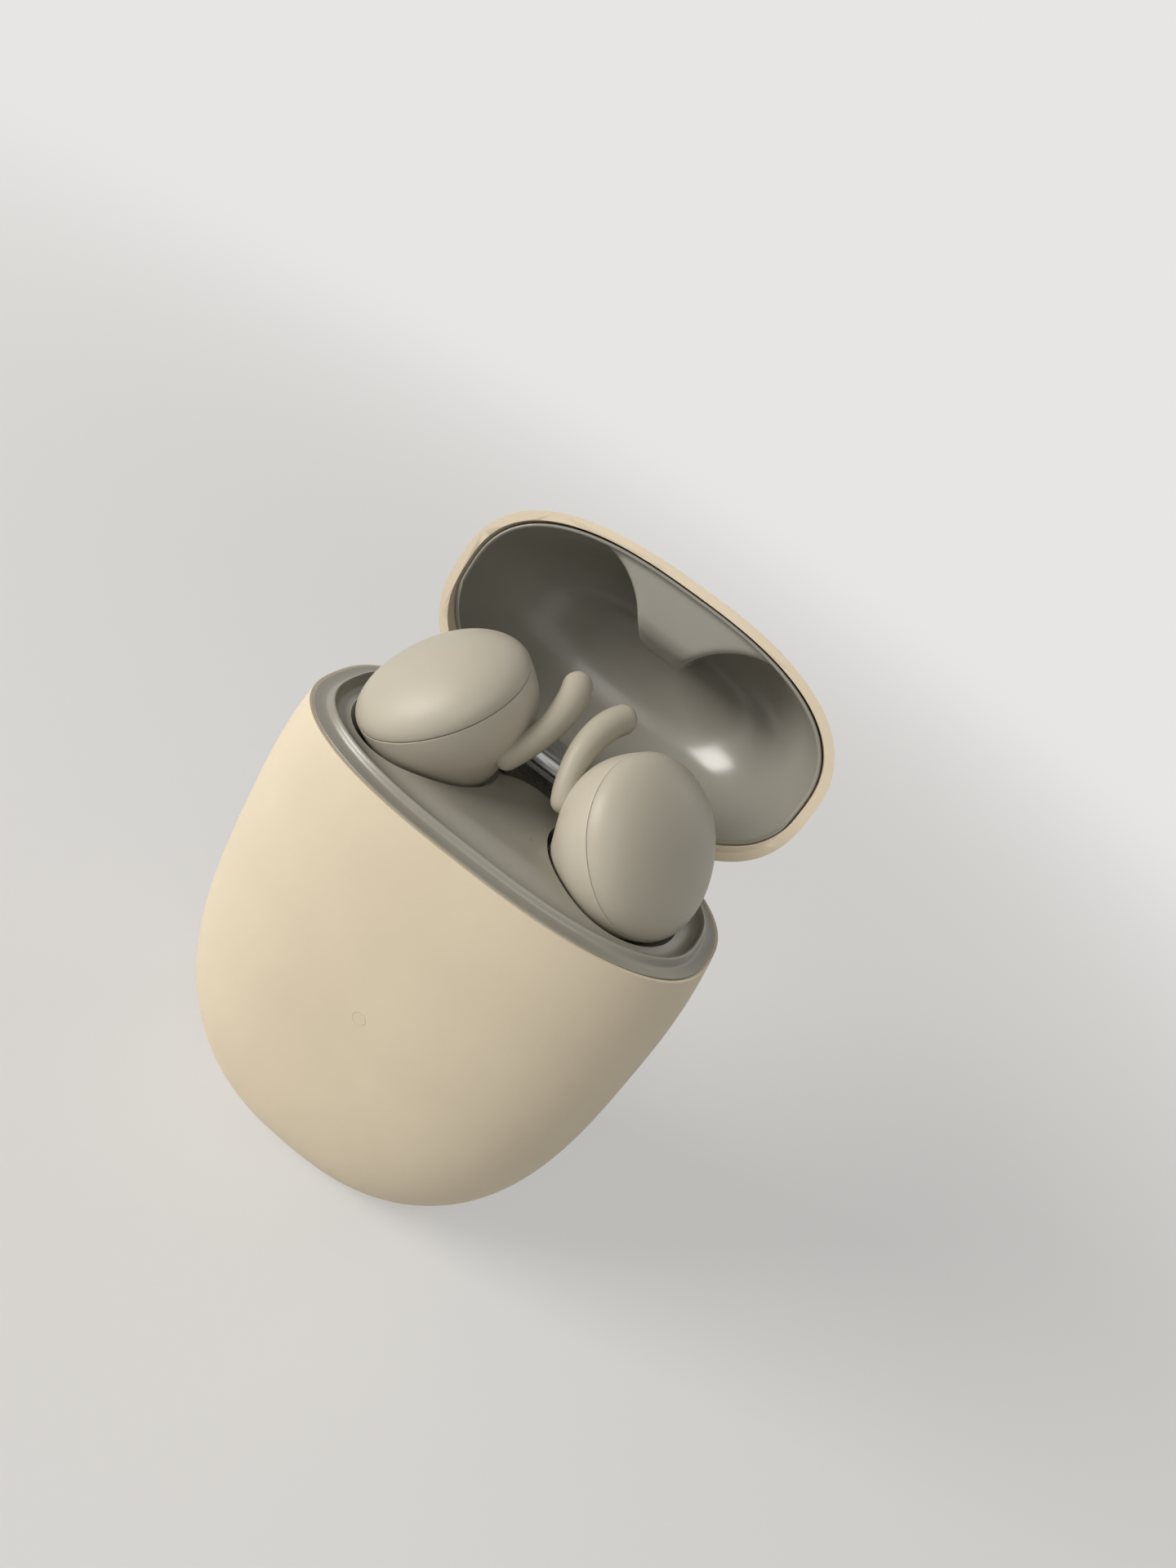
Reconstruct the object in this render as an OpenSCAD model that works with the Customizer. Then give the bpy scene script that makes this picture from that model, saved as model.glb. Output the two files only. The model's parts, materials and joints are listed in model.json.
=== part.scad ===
/* [Case] */
// Height of the closed case
case_h = 63; // [60:0.5:68]
// Width of the case at its widest level
case_w = 47; // [46:0.5:52]
// Depth of the case at its deepest level
case_d = 25; // [24.5:0.25:30]
// Height of the widest level
widest_z = 30.5; // [28:0.5:32]
// Height of the seam between body and lid
seam_z = 46; // [45:0.25:47]
// Depth of egg that is cut away to make the flat foot
foot_cut = 0.4; // [0.3:0.05:0.8]
// Roundness of the side outline below the widest level
side_low_power = 2.88; // [2.6:0.05:3.2]
// Roundness of the side outline above the widest level
side_high_power = 2.75; // [2.7:0.05:3.2]
// Roundness of the depth outline below the widest level
depth_low_power = 4.6; // [4:0.1:5]
// Roundness of the depth outline above the widest level
depth_high_power = 3.6; // [3.5:0.1:4.2]
// Squareness of the case seen from above
plan_power = 2.6; // [2.4:0.05:3]

/* [Walls] */
// Wall of the body shell
shell_t = 1.1; // [0.9:0.05:1.2]
// Thickness of the foot
foot_t = 1.2; // [1:0.1:1.6]
// Wall of the lid shell
lid_t = 0.95; // [0.85:0.05:1]
// Wall of the lid shell beside the collar
lid_rim_t = 0.85; // [0.7:0.05:0.9]
// Wall of the lid liner
liner_t = 0.4; // [0.3:0.05:0.45]
// Gap between the closed lid and the body
seam_gap = 0.2; // [0.15:0.05:0.4]
// Gap between a moulding and the shell that it sits in
fit_gap = 0.1; // [0.06:0.01:0.14]

/* [Collar and wells] */
// Height of the collar above the seam
collar_h = 1.6; // [1:0.1:1.8]
// Thickness of the collar
collar_t = 0.7; // [0.6:0.05:0.75]
// Gap between the collar and the lip of the lid liner
lip_gap = 0.36; // [0.3:0.01:0.4]
// Thickness of that lip
lip_t = 0.35; // [0.3:0.01:0.4]
// Height of the front plateau above the seam
plateau_h = 0.9; // [0.6:0.1:1]
// Thickness of the tray between its plateau and its underside
tray_t = 5.4; // [4.8:0.1:6]
// Radius of the well that holds a bud housing
well_r = 7.8; // [7.5:0.1:8]
// Distance of a well centre from the middle plane
well_x = 12.3; // [12.1:0.1:12.5]
// Depth of a well below the plateau
well_depth = 2.8; // [2.7:0.1:3]
// Wall of the cup under each well
cup_t = 1; // [0.8:0.1:1.2]
// Gap round an ear tip in its cup
cup_gap = 0.45; // [0.4:0.05:0.5]
// Front edge of the recess that joins the two wells
recess_front_y = 3.9; // [3.5:0.1:4.5]
// Depth of that recess from front to back
recess_depth = 4.8; // [4:0.1:5]

/* [Hinge] */
// Distance of the hinge axis inside the back of the seam
hinge_inset = 0.55; // [0.3:0.05:0.7]
// Depth of the hinge axis below the seam
hinge_drop = 0.8; // [0.7:0.05:1]
// Angle of the open lid
lid_open = 102; // [90:1:105]
// Radius of the hinge barrel
barrel_r = 1.25; // [1.1:0.05:1.3]
// Half width of the whole barrel
barrel_half_w = 9.5; // [8.5:0.1:10]
// Half width of the lid's knuckle
leaf_half_w = 6; // [5:0.1:6.5]
// Gap between knuckles
knuckle_gap = 0.2; // [0.15:0.05:0.3]
// Radius of the hinge pin
pin_r = 0.6; // [0.5:0.05:0.7]
// Running clearance of the pin
pin_clear = 0.04; // [0.02:0.01:0.08]
// Gap round the barrel in the shells
hinge_relief = 0.35; // [0.3:0.05:0.5]

/* [Earbuds] */
// Distance of a bud from the middle plane
bud_x = 11.4; // [11.2:0.1:11.6]
// Place of a bud from front to back
bud_y = -0.7; // [-0.9:0.1:-0.5]
// Height of a bud's seam centre above the case seam
bud_lift = 6.4; // [6.2:0.1:6.5]
// Tilt of a bud's axis from the vertical
bud_tilt = 45.8; // [44:0.2:47]
// Turn of a bud's axis towards the front
bud_turn = -30.3; // [-32:0.1:-28]
// Radius of a bud cap
cap_r = 7.9; // [7.6:0.05:8]
// Height of a bud cap
cap_h = 3.9; // [3.6:0.1:4]
// Depth of a bud housing behind its seam
housing_depth = 7.5; // [7.2:0.1:7.7]
// Roundness of a bud housing, from 2 for half an ellipse
housing_power = 2.6; // [2.3:0.05:2.65]
// Wall of a bud's mouldings
bud_wall = 0.9; // [0.7:0.05:1]
// Distance of an ear tip from the middle plane
tip_x = 9; // [8.8:0.1:9.1]
// Place of an ear tip from front to back
tip_y = -0.1; // [-0.3:0.1:0.1]
// Radius of an ear tip
tip_r = 5.2; // [4.8:0.1:5.3]
// Length of an ear tip
tip_len = 7.4; // [6.5:0.1:7.6]
// Outer radius of a sound nozzle
nozzle_r = 2.5; // [2.2:0.1:2.7]
// Radius of a stabiliser arc's rubber
arc_r = 1.3; // [1:0.05:1.35]

/* [Electronics] */
// Width of the case battery
battery_w = 28; // [24:0.5:30]
// Depth of the case battery
battery_d = 14; // [11:0.5:15]
// Height of the case battery
battery_h = 9; // [6:0.5:10]
// Width of the main board
board_w = 30; // [26:0.5:32]
// Depth of the main board
board_d = 16.4; // [15:0.2:17]
// Thickness of the boards
board_t = 1; // [0.8:0.1:1.2]
// Width of the charging port's shell
port_w = 8.94; // [8.9:0.02:9]
// Height of the charging port's shell
port_h = 3.16; // [3.1:0.02:3.3]
// Depth of the charging port
port_depth = 7; // [6.5:0.1:7.5]
// Radius of the pairing button
button_r = 3; // [2.5:0.1:3.4]
// Height of the pairing button on the back
button_z = 28; // [27.5:0.25:29]
// Travel of the pairing button
button_travel = 0.3; // [0.2:0.05:0.4]
// Radius of the status light
lens_r = 0.7; // [0.5:0.05:0.9]
// Radius of a charging pin
charge_pin_r = 0.4; // [0.35:0.05:0.45]
// Distance between the two charging pins of a bud
charge_pin_pitch = 2.6; // [2.4:0.1:2.8]

/* [Hidden] */
$fn = 64;

cream = [0.86, 0.82, 0.72];
pale_grey = [0.60, 0.60, 0.57];
mid_grey = [0.50, 0.51, 0.50];
dark_grey = [0.2, 0.2, 0.21];
steel = [0.72, 0.72, 0.74];
gold = [0.85, 0.68, 0.3];
board_green = [0.1, 0.3, 0.2];

// Points round one level of the egg, and levels on each stretch of it
round_steps = 48;
low_levels = 12;
high_levels = 9;
// A cut runs this far past the face that it opens
over = 1;

// The egg: half sizes at height z, with the whole egg drawn in by an inset
function low_share(z, inset) = (widest_z - z) / (widest_z + foot_cut - inset);
function high_share(z, inset) = (z - widest_z) / (case_h - inset - widest_z);
function egg_share(share, power) = pow(max(0, 1 - pow(min(1, share), power)), 1 / power);
function half_w(z, inset) = (case_w / 2 - inset) * (z < widest_z
  ? egg_share(low_share(z, inset), side_low_power)
  : egg_share(high_share(z, inset), side_high_power));
function half_d(z, inset) = (case_d / 2 - inset) * (z < widest_z
  ? egg_share(low_share(z, inset), depth_low_power)
  : egg_share(high_share(z, inset), depth_high_power));
function signed_power(value, power) = sign(value) * pow(abs(value), power);
function oval(a, b, z) = [for (i = [0:round_steps - 1]) let (turn = 360 * i / round_steps)
  [a * signed_power(cos(turn), 2 / plan_power), b * signed_power(sin(turn), 2 / plan_power), z]];
function egg_ring(z, inset) = oval(half_w(z, inset), half_d(z, inset), z);
// How far back the egg's wall is at a distance from the middle plane
function wall_y(x, z, inset) = half_d(z, inset) * egg_share(x / half_w(z, inset), plan_power);
// A ring that keeps its distance from the egg's own surface at that height
function edge_ring(z, inset) = oval(half_w(z, 0) - inset, half_d(z, 0) - inset, z);

// Rings from a height up to just under the top of the egg
function upper_rings(z_from, inset) = let (
    reach = case_h - inset - widest_z,
    first = asin((z_from - widest_z) / reach), last = 86)
  [for (i = [0:high_levels]) let (turn = first + (last - first) * i / high_levels)
    egg_ring(widest_z + reach * sin(turn), inset)];
// Rings from the flat bottom up to a height
function lower_rings(z_floor, z_to, inset) = let (
    reach = widest_z + foot_cut - inset,
    first = asin((z_floor - widest_z) / reach), last = 0)
  concat([for (i = [0:low_levels]) let (turn = first + (last - first) * i / low_levels)
    egg_ring(widest_z + reach * sin(turn), inset)],
    [for (i = [1:4]) egg_ring(widest_z + (z_to - widest_z) * i / 4, inset)]);
function backwards(list) = [for (i = [len(list) - 1:-1:0]) list[i]];

// One closed skin through a list of rings
module skin(rings) {
  n = round_steps;
  sides = [for (i = [0:len(rings) - 2]) for (j = [0:n - 1]) let (
      a = i * n + j, b = i * n + (j + 1) % n, c = (i + 1) * n + (j + 1) % n, d = (i + 1) * n + j)
    each [[a, d, c], [a, c, b]]];
  first_cap = [for (j = [0:n - 1]) j];
  last_cap = [for (j = [n - 1:-1:0]) (len(rings) - 1) * n + j];
  polyhedron([for (ring = rings) each ring], concat(sides, [first_cap, last_cap]), convexity = 6);
}

// Places that several pieces share
hinge_z = seam_z - hinge_drop;
hinge_y = half_d(seam_z, 0) - hinge_inset;
relief_r = barrel_r + hinge_relief;
relief_half_w = barrel_half_w + hinge_relief;
// Thickness of the tray under the hinge
hinge_floor = 1.2;
tray_inset = shell_t + fit_gap;
plateau_z = seam_z + plateau_h;
tray_low_z = plateau_z - tray_t;
ledge_z = plateau_z - well_depth;
well_y = bud_y + 0.7;
bud_at = [bud_x, bud_y, seam_z + bud_lift];
cup_r = tip_r + cup_gap;
// How far an ear tip hangs below the ledge of its well
tip_drop = 7.4;
tip_end_z = ledge_z - tip_drop;
tip_clear = 0.4;
cup_floor_z = tip_end_z - tip_clear;
cup_low_z = cup_floor_z - cup_t;
liner_z = seam_z + collar_h + lip_gap;
lip_low_z = seam_z + 0.6;
lip_inset = tray_inset + collar_t + lip_gap;
liner_inset = lid_t + fit_gap;

usb_board_z = 0.3 + port_depth;
foam_t = 1.6;
battery_z = usb_board_z + board_t + foam_t;
board_z = battery_z + battery_h + 3.5;
board_top_z = board_z + board_t;
screw_r = 0.55;
screw_head_r = 1.2;
screw_head_h = 0.8;
screw_len = 5;
screw_clear = 0.06;
post_r = 1.5;
post_y = 4.2;
usb_post_x = 7.6;
charge_pin_x = bud_x + 4.9;
charge_pin_y = bud_y + 1.2;
contact_z = bud_at.z - 6.2;
charge_pin_top_z = contact_z - 0.1;
contact_r = 0.6;
block_h = 3;
block_w = 2.8;
block_len = 6.4;
pin_floor = 0.8;
pin_travel = 0.5;
magnet_w = 5;
magnet_d = 2.2;
magnet_h = 2.6;
// The lid's magnet and the tray's stand this far inside the front of the seam
magnet_inset = 4.05;
magnet_y = magnet_inset - half_d(seam_z, 0);
back_wall_y = half_d(button_z, 0);
// Depths of the button's flange and stem end below the outside of the back wall
button_proud = 0.05;
flange_depth = shell_t + 0.15;
flange_t = 0.6;
stem_depth = shell_t + 1.7;
lens_z = board_top_z + 2;
front_wall_y = half_d(lens_z, 0);
lens_len = 3.6;

// The hinge's moving half and its fixed half are both drawn about this axis
module on_hinge_axis() {
  translate([0, hinge_y, hinge_z]) rotate([0, 90, 0]) children();
}
module barrel(from_x, to_x, radius) {
  on_hinge_axis() translate([0, 0, from_x]) cylinder(h = to_x - from_x, r = radius);
}
// Room for the barrel and its ears, cut from each moulding that it passes
module hinge_room(inward, z_low, z_high) {
  translate([-relief_half_w, hinge_y - inward, z_low])
    cube([2 * relief_half_w, inward + barrel_r + 2 * over, z_high - z_low]);
}
// The lid is drawn shut and swung open about the hinge
module swung_open() {
  translate([0, hinge_y, hinge_z]) rotate([-lid_open, 0, 0]) translate([0, -hinge_y, -hinge_z]) children();
}
// A slot with round ends, its long side along X
module round_slot(w, h, depth) {
  for (side = [-1, 1]) translate([side * (w - h) / 2, 0, 0]) cylinder(h = depth, d = h);
  translate([-(w - h) / 2, -h / 2, 0]) cube([w - h, h, depth]);
}
module on_side(side) { mirror([side < 0 ? 1 : 0, 0, 0]) children(); }

// Case body

module body_shell() {
  color(cream) difference() {
    union() {
      difference() {
        skin(concat(lower_rings(0, seam_z, 0), backwards(lower_rings(foot_t, seam_z, shell_t))));
        translate([0, 0, -over])
          round_slot(port_w + 2 * fit_gap, port_h + 2 * fit_gap, foot_t + 2 * over);
        hinge_room(shell_t + 2, hinge_z - relief_r, seam_z + over);
        translate([0, back_wall_y - 2 * shell_t, button_z]) rotate([-90, 0, 0])
          cylinder(h = 4 * shell_t, r = button_r + fit_gap);
        translate([0, -front_wall_y - 2 * shell_t, lens_z]) rotate([-90, 0, 0])
          cylinder(h = 4 * shell_t, r = lens_r + fit_gap / 2);
      }
      for (side = [-1, 1]) translate([side * usb_post_x, 0, foot_t - 0.1])
        cylinder(h = usb_board_z - foot_t + 0.1, r = post_r);
    }
    for (side = [-1, 1]) translate([side * usb_post_x, 0, usb_board_z - screw_len + 1])
      cylinder(h = screw_len, r = screw_r + screw_clear);
  }
}

module bud_tray() {
  collar_bevel = 0.6;
  cove_w = 2.8;
  color(mid_grey) difference() {
    union() {
      skin([
        edge_ring(tray_low_z, tray_inset),
        edge_ring(seam_z, tray_inset),
        edge_ring(seam_z + collar_h - collar_bevel, tray_inset),
        edge_ring(seam_z + collar_h, tray_inset + collar_bevel / 2),
        edge_ring(seam_z + collar_h, tray_inset + collar_t - 0.2),
        edge_ring(seam_z + 0.5, tray_inset + collar_t),
        edge_ring(seam_z, tray_inset + collar_t + cove_w / 4),
        edge_ring(seam_z + 0.1, tray_inset + collar_t + cove_w / 2),
        edge_ring(plateau_z, tray_inset + collar_t + cove_w)
      ]);
      for (side = [-1, 1]) translate([side * tip_x, tip_y, cup_low_z])
        cylinder(h = tray_low_z - cup_low_z + 0.1, r = cup_r + cup_t);
      for (side = [-1, 1]) translate([0, side * post_y, board_top_z])
        cylinder(h = tray_low_z - board_top_z + 0.1, r = post_r);
    }
    for (side = [-1, 1]) {
      translate([side * well_x, well_y, ledge_z]) cylinder(h = tray_t, r = well_r);
      translate([side * tip_x, tip_y, cup_floor_z]) cylinder(h = 20, r = cup_r);
      for (step = [-0.5, 0.5])
        translate([side * charge_pin_x, charge_pin_y + step * charge_pin_pitch, tray_low_z - over])
          cylinder(h = tray_t, r = charge_pin_r + pin_clear);
      translate([0, side * post_y, board_top_z - over]) cylinder(h = screw_len, r = screw_r + screw_clear);
    }
    translate([-well_x + 3, recess_front_y, ledge_z - 0.8]) cube([2 * well_x - 6, recess_depth, tray_t]);
    hinge_room(3.4, tray_low_z + hinge_floor, seam_z + collar_h + over);
    translate([-magnet_w / 2 - fit_gap, magnet_y - magnet_d / 2 - fit_gap, tray_low_z - over])
      cube([magnet_w + 2 * fit_gap, magnet_d + 2 * fit_gap, magnet_h + over]);
  }
}

module case_battery() {
  color(steel) translate([-battery_w / 2, -battery_d / 2, battery_z])
    cube([battery_w, battery_d, battery_h]);
}

module battery_foam() {
  foam_w = 11;
  foam_d = 9;
  color(dark_grey) translate([-foam_w / 2, -foam_d / 2, usb_board_z + board_t])
    cube([foam_w, foam_d, foam_t]);
}

module main_board() {
  color(board_green) difference() {
    translate([-board_w / 2, -board_d / 2, board_z]) cube([board_w, board_d, board_t]);
    for (side = [-1, 1]) translate([0, side * post_y, board_z - over])
      cylinder(h = board_t + 2 * over, r = screw_r + 0.15);
  }
}

module board_chips() {
  charger_at = [6, -3];
  charger_size = [5, 5, 1];
  radio_at = [-11, -2];
  radio_size = [4, 4, 0.9];
  crystal_at = [-12, 4];
  crystal_size = [3, 2, 0.8];
  coil_at = [10, 4];
  coil_size = [2, 2.5, 0.8];
  color(dark_grey) translate([0, 0, board_top_z]) {
    translate(charger_at) cube(charger_size);
    translate(radio_at) cube(radio_size);
    translate(crystal_at) cube(crystal_size);
    translate(coil_at) cube(coil_size);
  }
}

module hall_sensor() {
  sensor_at = [4, -7, board_top_z];
  sensor_size = [2.9, 1.3, 1.1];
  color(dark_grey) translate(sensor_at) cube(sensor_size);
}

// One screw, head up, with the underside of its head at the origin
module screw() {
  cylinder(h = screw_head_h, r = screw_head_r);
  translate([0, 0, -screw_len + 1.5]) cylinder(h = screw_len - 1.5, r = screw_r);
}

module board_screws() {
  color(steel) {
    for (side = [-1, 1]) translate([0, side * post_y, board_z]) mirror([0, 0, 1]) screw();
    for (side = [-1, 1]) translate([side * usb_post_x, 0, usb_board_z + board_t]) screw();
  }
}

module usb_board() {
  usb_board_w = 20;
  usb_board_d = 14;
  usb_board_front = 8;
  color(board_green) difference() {
    translate([-usb_board_w / 2, -usb_board_front, usb_board_z]) cube([usb_board_w, usb_board_d, board_t]);
    for (side = [-1, 1]) translate([side * usb_post_x, 0, usb_board_z - over])
      cylinder(h = board_t + 2 * over, r = screw_r + 0.15);
  }
}

module usb_shell() {
  wall = 0.3;
  color(steel) translate([0, 0, usb_board_z - port_depth]) difference() {
    round_slot(port_w, port_h, port_depth);
    translate([0, 0, -over]) round_slot(port_w - 2 * wall, port_h - 2 * wall, port_depth + 2 * over);
  }
}

module usb_tongue() {
  tongue_w = 6.2;
  tongue_t = 0.7;
  tongue_len = 4.6;
  color(dark_grey) translate([-tongue_w / 2, -tongue_t / 2, usb_board_z - tongue_len])
    cube([tongue_w, tongue_t, tongue_len]);
}

// The ribbon lies on both boards and runs up in front of the battery
module flex_cable() {
  ribbon_t = 0.2;
  ribbon_w = 5;
  ribbon_y = -board_d / 2 - 0.3;
  ribbon_x = -8;
  end_len = 2;
  low_z = usb_board_z + board_t;
  color(gold) translate([ribbon_x, 0, 0]) {
    translate([0, ribbon_y, low_z]) cube([ribbon_w, ribbon_t, board_top_z - low_z]);
    for (end_z = [low_z, board_top_z]) translate([0, ribbon_y, end_z]) cube([ribbon_w, end_len, ribbon_t]);
  }
}

module pairing_button() {
  flange_r = button_r + 0.6;
  stem_r = 0.8;
  color(cream) translate([0, back_wall_y, button_z]) rotate([90, 0, 0]) {
    translate([0, 0, -button_proud]) cylinder(h = button_proud + flange_depth + flange_t / 2, r = button_r);
    translate([0, 0, flange_depth]) cylinder(h = flange_t, r = flange_r);
    translate([0, 0, flange_depth]) cylinder(h = stem_depth - flange_depth, r = stem_r);
  }
}

module button_switch() {
  switch_w = 6;
  switch_d = 2;
  plunger_r = 1;
  plunger_end_y = back_wall_y - stem_depth - button_travel - fit_gap;
  body_back_y = board_d / 2 - 0.2;
  color(dark_grey) {
    translate([-switch_w / 2, body_back_y - switch_d, board_top_z])
      cube([switch_w, switch_d, button_z + 1.5 - board_top_z]);
    translate([0, body_back_y - switch_d / 2, button_z]) rotate([-90, 0, 0])
      cylinder(h = plunger_end_y - body_back_y + switch_d / 2, r = plunger_r);
  }
}

module status_lens() {
  color(cream) translate([0, -front_wall_y, lens_z]) rotate([-90, 0, 0]) cylinder(h = lens_len, r = lens_r);
}

module status_led() {
  lamp_w = 2;
  lamp_t = 1;
  lamp_h = 3;
  foot_d = 1.6;
  foot_h = 0.2;
  color("white") translate([-lamp_w / 2, -front_wall_y + lens_len + fit_gap / 2, board_top_z]) {
    cube([lamp_w, lamp_t, lamp_h]);
    cube([lamp_w, foot_d, foot_h]);
  }
}

module bud_magnets() {
  bud_magnet_h = 1.6;
  bud_magnet_r = 3;
  color(steel) for (side = [-1, 1]) translate([side * tip_x, tip_y, cup_low_z - bud_magnet_h])
    cylinder(h = bud_magnet_h, r = bud_magnet_r);
}

module tray_magnet() {
  color(steel) translate([-magnet_w / 2, magnet_y - magnet_d / 2, tray_low_z])
    cube([magnet_w, magnet_d, magnet_h]);
}

module pin_block(side) {
  color(dark_grey) on_side(side) difference() {
    translate([charge_pin_x - block_w / 2, charge_pin_y - block_len / 2, tray_low_z - block_h])
      cube([block_w, block_len, block_h]);
    translate([tip_x, tip_y, tray_low_z - block_h - over])
      cylinder(h = block_h + 2 * over, r = cup_r + cup_t + fit_gap);
    for (step = [-0.5, 0.5])
      translate([charge_pin_x, charge_pin_y + step * charge_pin_pitch, tray_low_z - block_h + pin_floor])
        cylinder(h = block_h, r = charge_pin_r + pin_clear);
  }
}

module charge_pins(side) {
  low_z = tray_low_z - block_h + pin_floor + pin_travel + 0.3;
  color(gold) on_side(side) for (step = [-0.5, 0.5])
    translate([charge_pin_x, charge_pin_y + step * charge_pin_pitch, low_z])
      cylinder(h = charge_pin_top_z - low_z, r = charge_pin_r);
}

// Hinge

module hinge_bracket() {
  knuckle_w = barrel_half_w - leaf_half_w - knuckle_gap;
  plate_y = hinge_y - 3.2;
  plate_t = 1;
  plate_low_z = tray_low_z + hinge_floor + fit_gap;
  ear_t = 1.6;
  ear_top_z = hinge_z + 0.6;
  color(steel) difference() {
    union() {
      for (side = [-1, 1]) on_side(side) {
        barrel(leaf_half_w + knuckle_gap, barrel_half_w, barrel_r);
        translate([leaf_half_w + knuckle_gap, plate_y, ear_top_z - ear_t])
          cube([knuckle_w, hinge_y - plate_y, ear_t]);
      }
      translate([-barrel_half_w, plate_y, plate_low_z])
        cube([2 * barrel_half_w, plate_t, ear_top_z - plate_low_z]);
    }
    barrel(-barrel_half_w - over, barrel_half_w + over, pin_r + pin_clear / 2);
  }
}

module hinge_pin() {
  color(steel) barrel(-barrel_half_w, barrel_half_w, pin_r);
}

module hinge_leaf() {
  plate_t = 0.7;
  plate_h = 4.6;
  low_z = hinge_z + 0.2;
  plate_y = wall_y(leaf_half_w, low_z + plate_h, lid_t + fit_gap) - plate_t;
  color(steel) swung_open() difference() {
    union() {
      barrel(-leaf_half_w, leaf_half_w, barrel_r);
      translate([-leaf_half_w, plate_y, low_z]) {
        cube([2 * leaf_half_w, hinge_y - plate_y, hinge_z + barrel_r - low_z]);
        cube([2 * leaf_half_w, plate_t, plate_h]);
      }
    }
    barrel(-leaf_half_w - over, leaf_half_w + over, pin_r + pin_clear);
  }
}

// Lid

module lid_shell() {
  rim_z = seam_z + seam_gap;
  step_z = liner_z - 0.1;
  color(cream) swung_open() difference() {
    skin(concat(
      backwards(upper_rings(step_z, lid_t)),
      [edge_ring(step_z, lid_rim_t), edge_ring(rim_z, lid_rim_t)],
      upper_rings(rim_z, 0)));
    hinge_room(relief_r, seam_z, hinge_z + relief_r);
  }
}

module lid_liner() {
  dome_r = well_r + 2;
  dome_x = well_x - 0.9;
  saddle_back_y = -4.6;
  saddle_inset = lip_inset + 0.3;
  cap_room = 1.3;
  inner_inset = liner_inset + liner_t;
  color(pale_grey) swung_open() difference() {
    union() {
      skin(concat(
        backwards(upper_rings(liner_z + 0.6, inner_inset)),
        [edge_ring(liner_z, lip_inset + lip_t), edge_ring(lip_low_z, lip_inset + lip_t),
          edge_ring(lip_low_z, lip_inset), edge_ring(liner_z, lip_inset)],
        upper_rings(liner_z, liner_inset)));
      difference() {
        intersection() {
          skin(concat(
            [edge_ring(plateau_z + 0.5, saddle_inset), edge_ring(liner_z + 0.3, saddle_inset)],
            upper_rings(liner_z + 0.4, liner_inset + liner_t / 2)));
          translate([-well_x, -case_d, seam_z]) cube([2 * well_x, case_d + saddle_back_y, case_h]);
        }
        for (side = [-1, 1]) translate([side * dome_x, bud_y, seam_z]) cylinder(h = case_h, r = dome_r);
        translate([-magnet_w / 2 - fit_gap, magnet_y - magnet_d / 2 - fit_gap, liner_z])
          cube([magnet_w + 2 * fit_gap, magnet_d + 2 * fit_gap, magnet_h]);
      }
    }
    translate([-case_w / 2, 6, lip_low_z - over]) cube([case_w, case_d, liner_z - lip_low_z + over]);
    intersection() {
      skin([edge_ring(lip_low_z - over, inner_inset), edge_ring(liner_z + 0.6, inner_inset)]);
      for (side = [-1, 1]) translate([side * (bud_x - 1), bud_y, lip_low_z - over])
        cylinder(h = case_h, r = cap_r + cap_room);
    }
    hinge_room(2.2, seam_z, hinge_z + 5);
  }
}

module lid_magnet() {
  color(steel) swung_open()
    translate([-magnet_w / 2, magnet_y - magnet_d / 2, liner_z + fit_gap])
      cube([magnet_w, magnet_d, magnet_h - 2 * fit_gap]);
}

// Earbuds, drawn for the right side about the bud's own axis

module on_bud_axis() {
  translate(bud_at) rotate([0, bud_tilt, bud_turn]) children();
}
profile_steps = 10;
function half_oval(radius, height, power) = [for (i = [0:profile_steps]) let (turn = 90 * i / profile_steps)
  [radius * signed_power(cos(turn), 2 / power), height * signed_power(sin(turn), 2 / power)]];
module dome(radius, height, power = 2) {
  rotate_extrude() polygon(concat([[0, 0]], half_oval(radius, height, power)));
}
seam_line = 0.08;
module housing_form(radius, depth) { mirror([0, 0, 1]) dome(radius, depth, housing_power); }

module bud_cap(side) {
  color(cream) on_side(side) on_bud_axis() translate([0, 0, seam_line]) difference() {
    dome(cap_r, cap_h);
    translate([0, 0, -0.01]) dome(cap_r - bud_wall, cap_h - bud_wall);
  }
}

module contact_places() {
  for (step = [-0.5, 0.5])
    translate([charge_pin_x, charge_pin_y + step * charge_pin_pitch, contact_z]) children();
}

module bud_body(side) {
  color(pale_grey) on_side(side) difference() {
    on_bud_axis() difference() {
      housing_form(cap_r, housing_depth);
      translate([0, 0, 0.01]) housing_form(cap_r - bud_wall, housing_depth - bud_wall);
    }
    translate([tip_x, tip_y, nozzle_end_z])
      cylinder(h = nozzle_top_z + over - nozzle_end_z, r = nozzle_r + 0.02);
    contact_places() translate([0, 0, -over]) cylinder(h = 4, r = contact_r + 0.02);
  }
}

module bud_contacts(side) {
  color(gold) on_side(side) contact_places() cylinder(h = 1, r = contact_r);
}

// The stabiliser is a stalk along a circle through its root, its middle and its free end,
// which are measured from the middle of the bud's seam
arc_root = bud_at + [-7.9, -1.5, -1.8];
arc_middle = bud_at + [-9.6, 1.7, 2.9];
arc_end = bud_at + [-8.8, 5.9, 5.1];
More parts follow.
